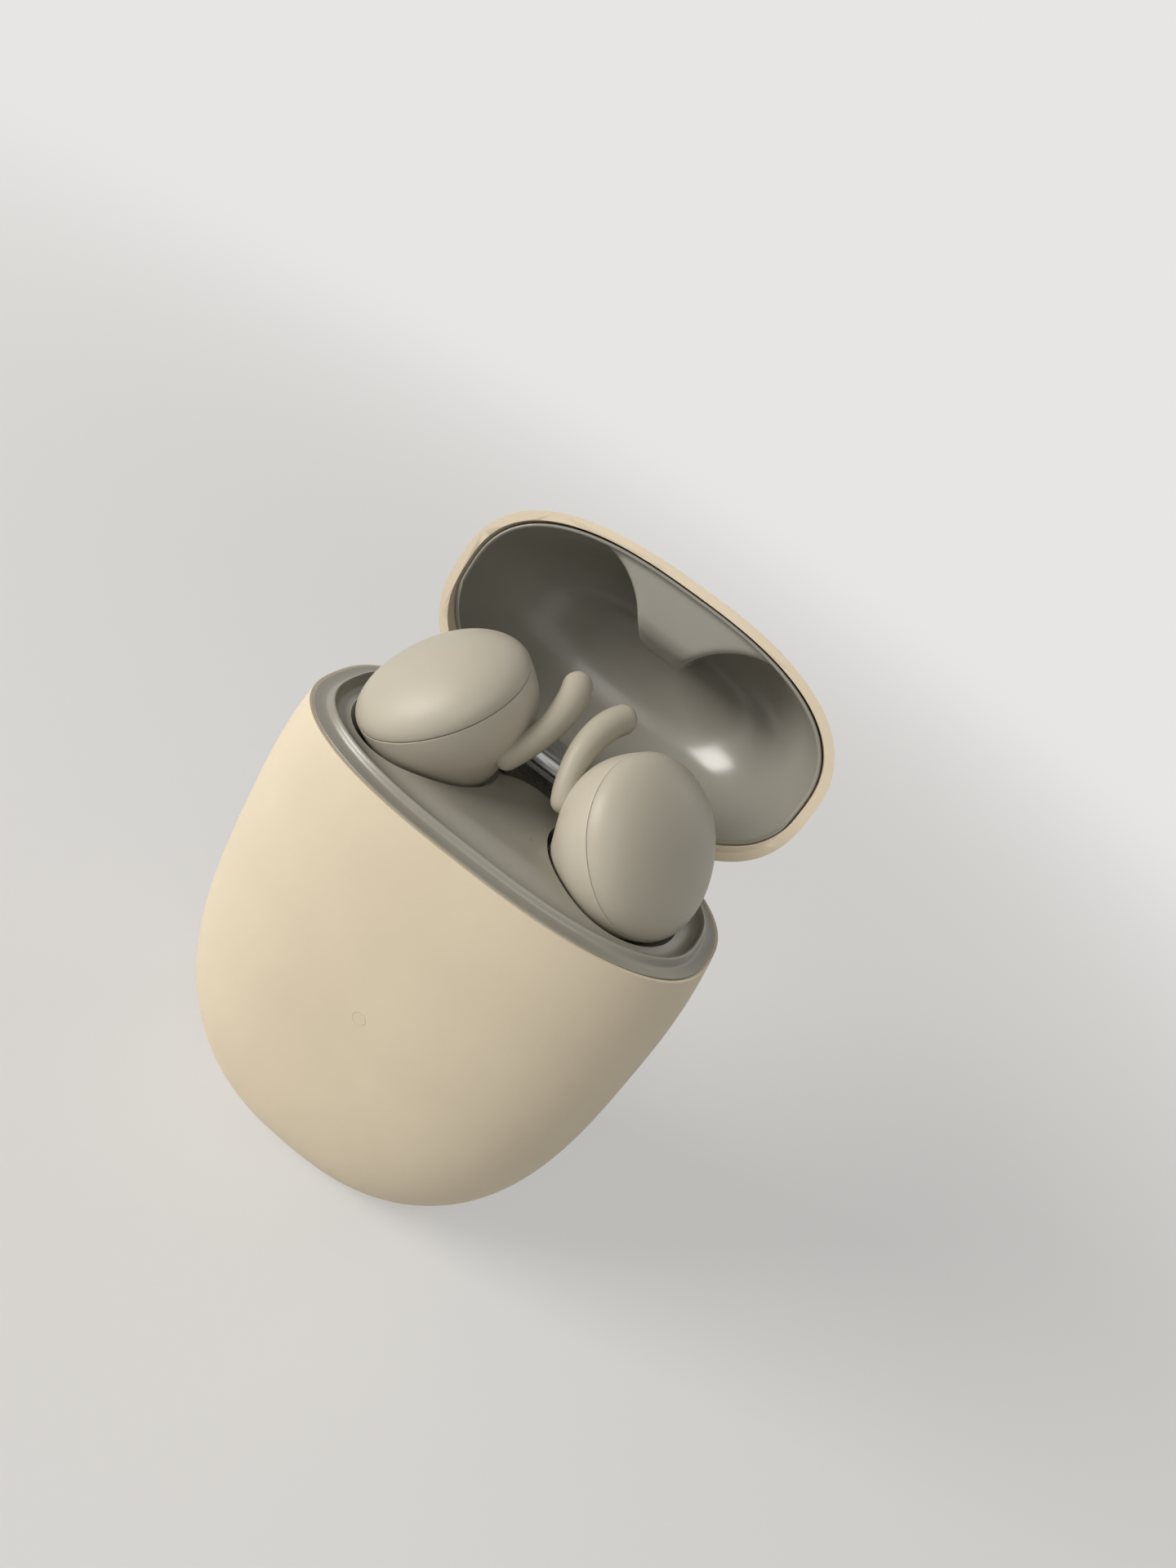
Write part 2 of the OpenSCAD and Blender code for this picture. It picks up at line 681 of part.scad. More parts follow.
// The free end is a bead that stands this proud of the stalk
arc_bead = 0.1;
function unit(v) = v / norm(v);
module bud_arc(side) {
  edge_a = arc_middle - arc_root;
  edge_b = arc_end - arc_root;
  normal = cross(edge_a, edge_b);
  centre = arc_root + (edge_b * edge_b * cross(normal, edge_a) + edge_a * edge_a * cross(edge_b, normal))
    / (2 * normal * normal);
  axis = unit(normal);
  polar = acos(axis.z);
  turn = atan2(axis.y, axis.x);
  across = [cos(polar) * cos(turn), cos(polar) * sin(turn), -sin(polar)];
  along = [-sin(turn), cos(turn), 0];
  function angle_of(p) = atan2((p - centre) * along, (p - centre) * across);
  from = angle_of(arc_root);
  sweep = (angle_of(arc_end) - from + 360) % 360;
  color(pale_grey) on_side(side) difference() {
    union() {
      translate(centre) rotate([0, polar, turn]) rotate([0, 0, from])
        rotate_extrude(angle = sweep) translate([norm(arc_root - centre), 0]) circle(r = arc_r);
      translate(arc_end) sphere(r = arc_r + arc_bead);
    }
    on_bud_axis() housing_form(cap_r + 0.03, housing_depth + 0.03);
  }
}

nozzle_wall = 0.8;
tip_top_z = tip_end_z + tip_len;
// The nozzle stops short of the ear tip's end, and starts inside the housing
nozzle_setback = 1.4;
nozzle_lead_in = 1.9;
nozzle_end_z = tip_end_z + nozzle_setback;
nozzle_top_z = ledge_z + nozzle_lead_in;
module bud_nozzle(side) {
  color(mid_grey) on_side(side) translate([tip_x, tip_y, nozzle_end_z]) difference() {
    cylinder(h = nozzle_top_z - nozzle_end_z, r = nozzle_r);
    translate([0, 0, -over])
      cylinder(h = nozzle_top_z - nozzle_end_z + 2 * over, r = nozzle_r - nozzle_wall);
  }
}

module bud_mesh(side) {
  mesh_t = 0.3;
  color(steel) on_side(side) translate([tip_x, tip_y, nozzle_end_z - mesh_t])
    cylinder(h = mesh_t, r = nozzle_r);
}

module bud_tip(side) {
  bore = nozzle_r + 0.05;
  sound_hole = nozzle_r - nozzle_wall;
  rubber_t = 0.8;
  skirt_len = tip_len - 1.2;
  sleeve_top = tip_len - 1;
  color(mid_grey) on_side(side) translate([tip_x, tip_y, tip_end_z]) rotate_extrude() polygon(concat(
    [[sound_hole, 0], [bore, 1], [bore, sleeve_top], [bore + rubber_t, sleeve_top], [bore + rubber_t, 2]],
    [[tip_r - rubber_t, skirt_len], [tip_r, skirt_len]],
    [for (i = [1:5]) let (turn = 15 * i)
      [sound_hole + (tip_r - sound_hole) * cos(turn), skirt_len * (1 - sin(turn))]]));
}

module bud_driver(side) {
  driver_back = 2;
  driver_t = 1.8;
  driver_r = 3.2;
  color(dark_grey) on_side(side) on_bud_axis() translate([0, 0, driver_back - housing_depth])
    cylinder(h = driver_t, r = driver_r);
}

module bud_cell(side) {
  cell_h = 3.6;
  cell_r = 4.2;
  color(steel) on_side(side) on_bud_axis() translate([0, 0, -cell_h]) cylinder(h = cell_h, r = cell_r);
}

module bud_board(side) {
  bud_board_t = 0.8;
  bud_board_r = 5.8;
  color(board_green) on_side(side) on_bud_axis() cylinder(h = bud_board_t, r = bud_board_r);
}

module bud_magnet(side) {
  post_h = 2.4;
  post_x = -5.1;
  post_y = 2;
  post_r = 0.9;
  color(steel) on_side(side) on_bud_axis() translate([post_x, post_y, -post_h])
    cylinder(h = post_h, r = post_r);
}

body_shell();
bud_tray();
case_battery();
battery_foam();
main_board();
board_chips();
hall_sensor();
board_screws();
usb_board();
usb_shell();
usb_tongue();
flex_cable();
pairing_button();
button_switch();
status_lens();
status_led();
bud_magnets();
tray_magnet();
pin_block(-1);  // left_pin_block
pin_block(1);  // right_pin_block
charge_pins(-1);  // left_charge_pins
charge_pins(1);  // right_charge_pins
hinge_bracket();
hinge_pin();
hinge_leaf();
lid_shell();
lid_liner();
lid_magnet();
bud_cap(-1);  // left_bud_cap
bud_body(-1);  // left_bud_body
bud_arc(-1);  // left_bud_arc
bud_nozzle(-1);  // left_bud_nozzle
bud_mesh(-1);  // left_bud_mesh
bud_tip(-1);  // left_bud_tip
bud_driver(-1);  // left_bud_driver
bud_cell(-1);  // left_bud_cell
bud_board(-1);  // left_bud_board
bud_contacts(-1);  // left_bud_contacts
bud_magnet(-1);  // left_bud_magnet
bud_cap(1);  // right_bud_cap
bud_body(1);  // right_bud_body
bud_arc(1);  // right_bud_arc
bud_nozzle(1);  // right_bud_nozzle
bud_mesh(1);  // right_bud_mesh
bud_tip(1);  // right_bud_tip
bud_driver(1);  // right_bud_driver
bud_cell(1);  // right_bud_cell
bud_board(1);  // right_bud_board
bud_contacts(1);  // right_bud_contacts
bud_magnet(1);  // right_bud_magnet
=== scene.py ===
"""An open wireless earbuds case with both earbuds in their wells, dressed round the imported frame."""

import json
import math
import bpy
from mathutils import Matrix, Vector


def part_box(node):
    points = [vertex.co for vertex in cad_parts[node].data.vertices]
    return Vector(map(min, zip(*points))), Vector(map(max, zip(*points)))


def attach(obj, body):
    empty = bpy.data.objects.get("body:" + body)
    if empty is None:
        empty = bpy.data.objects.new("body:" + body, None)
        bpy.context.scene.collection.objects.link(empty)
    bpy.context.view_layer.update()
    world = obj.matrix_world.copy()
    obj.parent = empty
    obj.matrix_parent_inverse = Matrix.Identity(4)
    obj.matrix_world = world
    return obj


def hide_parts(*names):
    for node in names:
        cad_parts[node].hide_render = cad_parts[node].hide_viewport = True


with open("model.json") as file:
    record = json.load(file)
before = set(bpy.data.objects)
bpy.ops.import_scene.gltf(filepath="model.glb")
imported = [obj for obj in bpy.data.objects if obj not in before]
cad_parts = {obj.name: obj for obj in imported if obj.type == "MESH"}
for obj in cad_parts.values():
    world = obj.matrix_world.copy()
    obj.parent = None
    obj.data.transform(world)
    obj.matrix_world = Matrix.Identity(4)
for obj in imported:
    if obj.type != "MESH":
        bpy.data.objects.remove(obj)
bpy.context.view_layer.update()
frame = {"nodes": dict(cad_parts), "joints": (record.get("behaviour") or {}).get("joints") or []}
bpy.context.scene.view_settings.view_transform = "Standard"

# Camera
# The view in the photograph: a phone held close to the front of the open case, a little to its right
# and above it, and rolled so that the case leans to the left in the upright picture.
mm = 0.001
photo_long_side = 1920
focal_in_pixels = 1292.5
film_side = 36
camera_place = Vector((14.42, -82.98, 97.77)) * mm
camera_right = Vector((0.79082, 0.36571, 0.49078))
camera_up = Vector((-0.60202, 0.32019, 0.73147))
camera_back = camera_right.cross(camera_up)
bpy.ops.object.select_all(action="DESELECT")
bpy.ops.object.camera_add()
camera = bpy.context.object
camera.name = "photo_view"
camera.data.sensor_width = film_side
camera.data.lens = focal_in_pixels * film_side / photo_long_side
camera.data.clip_start = 5 * mm
turn = Matrix((camera_right, camera_up, camera_back)).transposed()
camera.matrix_world = Matrix.Translation(camera_place) @ turn.to_4x4()
bpy.context.scene.camera = camera

# Floor and studio light
# A wide pale matte floor that fades into a backdrop of its own colour, one large soft lamp low at the left
# of the case where the photograph's light comes from, and two weak ones in front and behind.
backdrop_colour = (0.80, 0.79, 0.775, 1)
floor_colour = (0.74, 0.735, 0.725, 1)
floor_reach = 3.0
floor_drop = 0.05 * mm
floor_lift_share = 0.45
fade_from = 0.10
fade_to = 0.42
room_strength = 0.17
room_white = (1.0, 0.98, 0.95)
key_white = (1.0, 0.965, 0.92)
lamp_aim = Vector((0, 0, 40)) * mm
bpy.ops.object.select_all(action="DESELECT")
bpy.ops.mesh.primitive_circle_add(
    vertices=96, radius=floor_reach, fill_type="NGON", location=(0, 0, -floor_drop))
floor = bpy.context.object
floor.name = "studio_floor"
bpy.ops.object.transform_apply(location=True)


def add_sight(nodes, links):
    """A socket that is 1 for rays that show the background: from the camera, off gloss and through glass."""
    ray_kind = nodes.new("ShaderNodeLightPath")
    off_gloss = nodes.new("ShaderNodeMath")
    off_gloss.operation = "MAXIMUM"
    through_glass = nodes.new("ShaderNodeMath")
    through_glass.operation = "MAXIMUM"
    links.new(ray_kind.outputs["Is Camera Ray"], off_gloss.inputs[0])
    links.new(ray_kind.outputs["Is Glossy Ray"], off_gloss.inputs[1])
    links.new(off_gloss.outputs["Value"], through_glass.inputs[0])
    links.new(ray_kind.outputs["Is Transmission Ray"], through_glass.inputs[1])
    return through_glass.outputs["Value"]


floor_paint = bpy.data.materials.new("floor_paint")
floor_paint.use_nodes = True
nodes = floor_paint.node_tree.nodes
links = floor_paint.node_tree.links
floor_matte = nodes["Principled BSDF"]
floor_matte.inputs["Base Color"].default_value = floor_colour
floor_matte.inputs["Roughness"].default_value = 0.9
floor_matte.inputs["Specular IOR Level"].default_value = 0.1
floor_place = nodes.new("ShaderNodeTexCoord")
floor_distance = nodes.new("ShaderNodeVectorMath")
floor_distance.operation = "LENGTH"
floor_fade = nodes.new("ShaderNodeMapRange")
floor_fade.interpolation_type = "SMOOTHSTEP"
floor_fade.inputs["From Min"].default_value = fade_from
floor_fade.inputs["From Max"].default_value = fade_to
floor_glow = nodes.new("ShaderNodeEmission")
floor_glow.inputs["Color"].default_value = backdrop_colour
floor_blend = nodes.new("ShaderNodeMixShader")
links.new(floor_place.outputs["Object"], floor_distance.inputs[0])
links.new(floor_distance.outputs["Value"], floor_fade.inputs["Value"])
links.new(floor_fade.outputs["Result"], floor_blend.inputs["Fac"])
links.new(floor_matte.outputs["BSDF"], floor_blend.inputs[1])
links.new(floor_glow.outputs["Emission"], floor_blend.inputs[2])
floor_lift = nodes.new("ShaderNodeMath")
floor_lift.operation = "MULTIPLY"
floor_lift.inputs[1].default_value = floor_lift_share
floor_seen = nodes.new("ShaderNodeMixShader")
links.new(add_sight(nodes, links), floor_lift.inputs[0])
links.new(floor_lift.outputs["Value"], floor_seen.inputs["Fac"])
links.new(floor_blend.outputs["Shader"], floor_seen.inputs[1])
links.new(floor_glow.outputs["Emission"], floor_seen.inputs[2])
links.new(floor_seen.outputs["Shader"], nodes["Material Output"].inputs["Surface"])
floor.data.materials.append(floor_paint)

studio = bpy.data.worlds.new("studio")
studio.use_nodes = True
bpy.context.scene.world = studio
nodes = studio.node_tree.nodes
links = studio.node_tree.links
room_light = nodes["Background"]
room_light.inputs["Color"].default_value = (*room_white, 1)
room_light.inputs["Strength"].default_value = room_strength
backdrop = nodes.new("ShaderNodeBackground")
backdrop.inputs["Color"].default_value = backdrop_colour
room_blend = nodes.new("ShaderNodeMixShader")
links.new(add_sight(nodes, links), room_blend.inputs["Fac"])
links.new(room_light.outputs["Background"], room_blend.inputs[1])
links.new(backdrop.outputs["Background"], room_blend.inputs[2])
links.new(room_blend.outputs["Shader"], nodes["World Output"].inputs["Surface"])


def hang_lamp(name, towards, distance, width, watts, colour):
    """Hang one square soft lamp on a line out from the middle of the case, facing it."""
    data = bpy.data.lights.new(name, "AREA")
    data.size = width
    data.energy = watts
    data.color = colour
    lamp = bpy.data.objects.new(name, data)
    bpy.context.scene.collection.objects.link(lamp)
    direction = Vector(towards).normalized()
    lamp.location = lamp_aim + direction * distance
    lamp.rotation_euler = direction.to_track_quat("Z", "Y").to_euler()


hang_lamp("key_lamp", (-0.78, -0.50, 0.38), 0.70, 0.34, 4.8, key_white)
hang_lamp("front_lamp", (0.12, -0.72, 0.68), 0.90, 0.50, 1.5, room_white)
hang_lamp("back_lamp", (0.55, 0.65, 0.60), 0.80, 0.40, 0.7, room_white)

# Body shell
# The lower half of the egg is one moulded cup in matte cream plastic with a soft-touch skin. It has a
# flat foot with the charging port, a button hole at the back, and a notch where the hinge comes out.
shell_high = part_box("body_shell")[1]
half_width = shell_high.x
half_depth = shell_high.y
seam_z = shell_high.z
case_height = 63 * mm
widest_z = 30.5 * mm
foot_cut = 0.4 * mm
shell_wall = 1.1 * mm
side_low_power = 2.88
side_high_power = 2.75
depth_low_power = 4.6
depth_high_power = 3.6
plan_power = 2.6


def egg_share(share, power):
    """Half size of a rounded outline at a share of its reach, from 1 at the widest level to 0 at the end."""
    return max(0.0, 1 - min(1.0, share) ** power) ** (1 / power)


def egg_half_sizes(z, inset=0.0):
    """Half width and half depth of the egg at a height, with the whole egg drawn in by an inset."""
    if z < widest_z:
        share = (widest_z - z) / (widest_z + foot_cut - inset)
        powers = (side_low_power, depth_low_power)
    else:
        share = (z - widest_z) / (case_height - inset - widest_z)
        powers = (side_high_power, depth_high_power)
    wide = (half_width - inset) * egg_share(share, powers[0])
    deep = (half_depth - inset) * egg_share(share, powers[1])
    return wide, deep


def signed_power(value, power):
    """A power of a value's size, with the value's own sign."""
    return math.copysign(abs(value) ** power, value)


def add_egg(name, inset=0.0, segments=160, rings=104):
    """A sphere pushed out to the whole egg's surface, drawn in by an inset."""
    bpy.ops.object.select_all(action="DESELECT")
    bpy.ops.mesh.primitive_uv_sphere_add(segments=segments, ring_count=rings, radius=1)
    egg = bpy.context.object
    egg.name = name
    for vertex in egg.data.vertices:
        height = max(-1.0, min(1.0, vertex.co.z))
        reach = case_height - widest_z - inset if height > 0 else widest_z + foot_cut - inset
        level = widest_z + reach * height
        wide, deep = egg_half_sizes(level, inset)
        around = math.atan2(vertex.co.y, vertex.co.x)
        vertex.co.x = wide * signed_power(math.cos(around), 2 / plan_power)
        vertex.co.y = deep * signed_power(math.sin(around), 2 / plan_power)
        vertex.co.z = level
    return egg


def slice_off(piece, height, keep_upper, fill=False):
    """Cut a piece level at a height and throw one side away."""
    bpy.context.view_layer.objects.active = piece
    bpy.ops.object.mode_set(mode="EDIT")
    bpy.ops.mesh.select_all(action="SELECT")
    bpy.ops.mesh.bisect(
        plane_co=(0, 0, height), plane_no=(0, 0, 1), use_fill=fill,
        clear_inner=keep_upper, clear_outer=not keep_upper, threshold=1e-7)
    bpy.ops.object.mode_set(mode="OBJECT")


def finish_with(piece, kind, **settings):
    """Add one modifier with its settings and apply it."""
    modifier = piece.modifiers.new(kind.lower(), kind)
    for setting, value in settings.items():
        setattr(modifier, setting, value)
    bpy.context.view_layer.objects.active = piece
    bpy.ops.object.modifier_apply(modifier=modifier.name)


def round_edges(piece, width, segments):
    """Round a piece's sharp edges."""
    finish_with(
        piece, "BEVEL", width=width, segments=segments, limit_method="ANGLE", angle_limit=math.radians(50))


def cut_away(piece, *cutters):
    """Cut the cutters' shapes out of a piece, and throw the cutters away."""
    for cutter in cutters:
        finish_with(piece, "BOOLEAN", object=cutter, operation="DIFFERENCE", solver="EXACT")
        bpy.data.objects.remove(cutter)


def add_block(low, high, rounding=0.0):
    """A block between two corners, with its edges rounded off."""
    bpy.ops.object.select_all(action="DESELECT")
    middle = (Vector(low) + Vector(high)) / 2
    bpy.ops.mesh.primitive_cube_add(size=1, location=middle, scale=Vector(high) - Vector(low))
    block = bpy.context.object
    bpy.ops.object.transform_apply(location=True, scale=True)
    if rounding:
        finish_with(block, "BEVEL", width=rounding, segments=4, limit_method="NONE")
    return block


def add_drum(middle, radius, length, axis="Z", sides=128):
    """A plain round drum about a point, along one of the three axes."""
    bpy.ops.object.select_all(action="DESELECT")
    tilt = {"X": (0, math.pi / 2, 0), "Y": (math.pi / 2, 0, 0), "Z": (0, 0, 0)}[axis]
    bpy.ops.mesh.primitive_cylinder_add(
        vertices=sides, radius=radius, depth=length, location=middle, rotation=tilt)
    drum = bpy.context.object
    bpy.ops.object.transform_apply(location=True, rotation=True)
    return drum


sliver = 0.004 * mm


def smooth_over(piece, angle=35):
    """Clear the slivers that cuts leave, and shade a piece smooth with its true edges kept."""
    bpy.ops.object.select_all(action="DESELECT")
    piece.select_set(True)
    bpy.context.view_layer.objects.active = piece
    bpy.ops.object.mode_set(mode="EDIT")
    bpy.ops.mesh.select_all(action="SELECT")
    bpy.ops.mesh.remove_doubles(threshold=sliver)
    bpy.ops.mesh.dissolve_degenerate(threshold=sliver)
    bpy.ops.object.mode_set(mode="OBJECT")
    bpy.ops.object.shade_smooth_by_angle(angle=math.radians(angle))


hinge = next(joint for joint in frame["joints"] if joint["name"] == "lid_hinge")
hinge_place = Vector(hinge["pos_m"])
hinge_half_width = 9.85 * mm
barrel_room = 1.6 * mm
notch_front = 3.1 * mm
notch_rounding = 0.5 * mm
past_back = 4 * mm
through_wall = 5 * mm
shell_rounding = 0.22 * mm
button_hole_radius = 3.1 * mm
lens_hole_radius = 0.72 * mm
port_gap = 0.1 * mm
port_rounding_share = 0.999
button_low, button_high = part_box("pairing_button")
lens_low, lens_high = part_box("status_lens")
port_low, port_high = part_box("usb_shell")

body_shell = add_egg("case_body_shell")
slice_off(body_shell, seam_z, keep_upper=False)
slice_off(body_shell, 0, keep_upper=True, fill=True)
finish_with(body_shell, "SOLIDIFY", thickness=shell_wall, offset=-1, use_even_offset=True)
hinge_notch = add_block(
    (-hinge_half_width, hinge_place.y - notch_front, hinge_place.z - barrel_room),
    (hinge_half_width, hinge_place.y + past_back, seam_z + 3 * mm), notch_rounding)
button_hole = add_drum(
    (0, button_high.y, (button_low.z + button_high.z) / 2), button_hole_radius, through_wall, "Y")
lens_hole = add_drum(
    (0, lens_low.y, (lens_low.z + lens_high.z) / 2), lens_hole_radius, through_wall, "Y", 48)
port_hole = add_block(
    (port_low.x - port_gap, port_low.y - port_gap, -2 * mm),
    (port_high.x + port_gap, port_high.y + port_gap, 4 * mm))
bpy.ops.object.mode_set(mode="EDIT")
bpy.ops.mesh.select_all(action="DESELECT")
bpy.ops.object.mode_set(mode="OBJECT")
for edge in port_hole.data.edges:
    ends = [port_hole.data.vertices[i].co for i in edge.vertices]
    edge.select = abs(ends[0].z - ends[1].z) > 1 * mm
bpy.ops.object.mode_set(mode="EDIT")
bpy.ops.mesh.bevel(offset=(port_high.y + port_gap) * port_rounding_share, segments=12, affect="EDGES")
bpy.ops.object.mode_set(mode="OBJECT")
cut_away(body_shell, hinge_notch, button_hole, port_hole)
round_edges(body_shell, shell_rounding, 3)
cut_away(body_shell, lens_hole)
smooth_over(body_shell)
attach(body_shell, "case")
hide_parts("body_shell")


def start_material(name, base_colour, roughness, specular=0.5):
    """A new material with its Principled shader, ready for its own texture nodes."""
    material = bpy.data.materials.new(name)
    material.use_nodes = True
    shader = material.node_tree.nodes["Principled BSDF"]
    shader.inputs["Base Color"].default_value = (*base_colour, 1)
    shader.inputs["Roughness"].default_value = roughness
    shader.inputs["Specular IOR Level"].default_value = specular
    return material


def add_group_input(group, name, kind, value):
    """Add one named input with its usual value to a node group."""
    socket = group.interface.new_socket(name, in_out="INPUT", socket_type=kind)
    socket.default_value = value


# Every moulded piece shows the same two things close up: a fine spark-eroded grain from the mould, and
# a slow drift of tone across the part from the plastic's flow and from handling.
moulded = bpy.data.node_groups.new("moulded_surface", "ShaderNodeTree")
add_group_input(moulded, "Colour", "NodeSocketColor", (0.5, 0.5, 0.5, 1))
add_group_input(moulded, "Drift colour", "NodeSocketColor", (0.4, 0.4, 0.4, 1))
add_group_input(moulded, "Drift size", "NodeSocketFloat", 90.0)
add_group_input(moulded, "Grain size", "NodeSocketFloat", 5200.0)
add_group_input(moulded, "Smoothest", "NodeSocketFloat", 0.4)
add_group_input(moulded, "Roughest", "NodeSocketFloat", 0.6)
moulded.interface.new_socket("Colour", in_out="OUTPUT", socket_type="NodeSocketColor")
moulded.interface.new_socket("Roughness", in_out="OUTPUT", socket_type="NodeSocketFloat")
moulded.interface.new_socket("Height", in_out="OUTPUT", socket_type="NodeSocketFloat")
nodes = moulded.nodes
links = moulded.links
entry = nodes.new("NodeGroupInput")
outlet = nodes.new("NodeGroupOutput")
place = nodes.new("ShaderNodeTexCoord")
drift = nodes.new("ShaderNodeTexNoise")
drift.inputs["Detail"].default_value = 3
grain = nodes.new("ShaderNodeTexNoise")
grain.inputs["Detail"].default_value = 2
grain.inputs["Roughness"].default_value = 0.6
rub = nodes.new("ShaderNodeTexNoise")
rub.inputs["Scale"].default_value = 420
rub.inputs["Detail"].default_value = 4
tone = nodes.new("ShaderNodeMix")
tone.data_type = "RGBA"
sheen = nodes.new("ShaderNodeMapRange")
drift_reach = nodes.new("ShaderNodeMapRange")
drift_reach.inputs["From Min"].default_value = 0.35
drift_reach.inputs["From Max"].default_value = 0.75
links.new(place.outputs["Object"], drift.inputs["Vector"])
links.new(place.outputs["Object"], grain.inputs["Vector"])
links.new(place.outputs["Object"], rub.inputs["Vector"])
links.new(entry.outputs["Drift size"], drift.inputs["Scale"])
links.new(entry.outputs["Grain size"], grain.inputs["Scale"])
links.new(drift.outputs["Fac"], drift_reach.inputs["Value"])
links.new(drift_reach.outputs["Result"], tone.inputs["Factor"])
links.new(entry.outputs["Colour"], tone.inputs["A"])
links.new(entry.outputs["Drift colour"], tone.inputs["B"])
links.new(rub.outputs["Fac"], sheen.inputs["Value"])
links.new(entry.outputs["Smoothest"], sheen.inputs["To Min"])
links.new(entry.outputs["Roughest"], sheen.inputs["To Max"])
links.new(tone.outputs["Result"], outlet.inputs["Colour"])
links.new(sheen.outputs["Result"], outlet.inputs["Roughness"])
links.new(grain.outputs["Fac"], outlet.inputs["Height"])


def moulded_plastic(
        name, colour, drift_colour, smoothest, roughest, grain_depth,
        specular=0.5, grain_size=5200.0, drift_size=90.0):
    """A moulded plastic or rubber: the shared surface group with one piece's own colours and grain."""
    material = start_material(name, colour, roughest, specular)
    nodes = material.node_tree.nodes
    links = material.node_tree.links
    shader = nodes["Principled BSDF"]
    surface = nodes.new("ShaderNodeGroup")
    surface.node_tree = moulded
    surface.inputs["Colour"].default_value = (*colour, 1)
    surface.inputs["Drift colour"].default_value = (*drift_colour, 1)
    surface.inputs["Drift size"].default_value = drift_size
    surface.inputs["Grain size"].default_value = grain_size
    surface.inputs["Smoothest"].default_value = smoothest
    surface.inputs["Roughest"].default_value = roughest
    bump = nodes.new("ShaderNodeBump")
    bump.inputs["Strength"].default_value = 1.0
    bump.inputs["Distance"].default_value = grain_depth
    links.new(surface.outputs["Colour"], shader.inputs["Base Color"])
    links.new(surface.outputs["Roughness"], shader.inputs["Roughness"])
    links.new(surface.outputs["Height"], bump.inputs["Height"])
    links.new(bump.outputs["Normal"], shader.inputs["Normal"])
    return material


shell_plastic = moulded_plastic(
    "cream_shell_plastic", (0.670, 0.585, 0.440), (0.638, 0.556, 0.416),
    0.50, 0.62, 0.012 * mm, specular=0.35)
body_shell.data.materials.append(shell_plastic)

# Bud tray
# One moulding in satin grey plastic, pressed into the mouth of the body. A low round collar stands at the
# seam, and behind its cove lie the flat front plateau, two nests shaped to the buds and the ear-tip cups.
tray_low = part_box("bud_tray")[0]
ledge_z = seam_z - 1.9 * mm
plateau_z = seam_z + 0.9 * mm
nest_gap = 0.35 * mm
form_voxel = 0.22 * mm
cup_place = Vector((9.0, -0.1, 0)) * mm
cup_radius = 5.45 * mm
cup_wall = 1.0 * mm
cup_floor_z = tray_low.z + cup_wall
tray_floor_z = seam_z - 4.5 * mm
ring_points = 192
collar_profile = [
    (1.12, -4.50), (1.12, -1.50), (1.12, 0.01), (0.34, 0.01), (0.30, 0.05), (0.34, 0.10), (0.80, 0.13),
    (1.34, 0.14), (1.48, 0.22), (1.56, 0.44), (1.62, 0.66), (1.71, 0.79), (1.82, 0.82), (1.94, 0.76),
    (2.06, 0.56), (2.22, 0.28), (2.46, 0.06), (2.78, -0.05), (3.20, 0.00), (3.65, 0.20), (4.10, 0.48),
    (4.50, 0.70), (4.95, 0.84), (5.40, 0.90), (6.20, 0.90)]
bud_place = Vector((11.4, -0.7, 52.4)) * mm
bud_tilt = math.radians(45.8)
bud_turn = math.radians(-30.3)
bud_radius = 7.9 * mm
bud_low_reach = 9.0 * mm
housing_depth = 7.5 * mm
housing_power = 2.6
bud_axes = (
    Matrix.Translation(bud_place) @ Matrix.Rotation(bud_turn, 4, "Z") @ Matrix.Rotation(bud_tilt, 4, "Y"))
mirror_left = Matrix.Scale(-1, 4, (1, 0, 0))
boss_levels = [(4.75, 46.6), (4.7, 45.8), (4.5, 45.2), (4.1, 44.7), (3.6, 44.3), (3.0, 44.2)]
pin_place = Vector((16.3, 0.5, 0)) * mm
pin_half_pitch = 1.3 * mm
pin_hole_radius = 0.7 * mm
cup_overlap = 1 * mm
recess_half_width = 9.3 * mm
recess_front_y = 0.2 * mm
recess_back_y = 8.7 * mm
recess_floor_z = ledge_z - 0.8 * mm
plateau_tip_y = -0.9 * mm
plateau_tip_radius = 4.75 * mm
over_tray_z = seam_z + 6 * mm
tray_notch_front = 3.4 * mm
tray_notch_floor_z = tray_floor_z + 1.2 * mm


def set_on_side(piece, side):
    """Mirror a right-hand piece to the left where it belongs there, and turn its faces out again."""
    if side < 0:
        piece.data.transform(mirror_left)
        piece.data.flip_normals()


def add_bud_form(name, radius, height, power=2.0):
    """A flattened ball about the bud's axis, longer at the low end, and fuller where the power is above 2."""
    bpy.ops.object.select_all(action="DESELECT")
    bpy.ops.mesh.primitive_uv_sphere_add(segments=128, ring_count=96, radius=1)
    form = bpy.context.object
    form.name = name
    for vertex in form.data.vertices:
        level = max(-1.0, min(1.0, vertex.co.z))
        out = math.sqrt(max(0.0, 1 - level * level))
        fuller = signed_power(out, 2 / power) / out if out > 1e-6 else 0.0
        vertex.co.x *= (radius if vertex.co.x < 0 else radius + bud_low_reach - bud_radius) * fuller
        vertex.co.y *= radius * fuller
        vertex.co.z = height * signed_power(level, 2 / power)
    return form


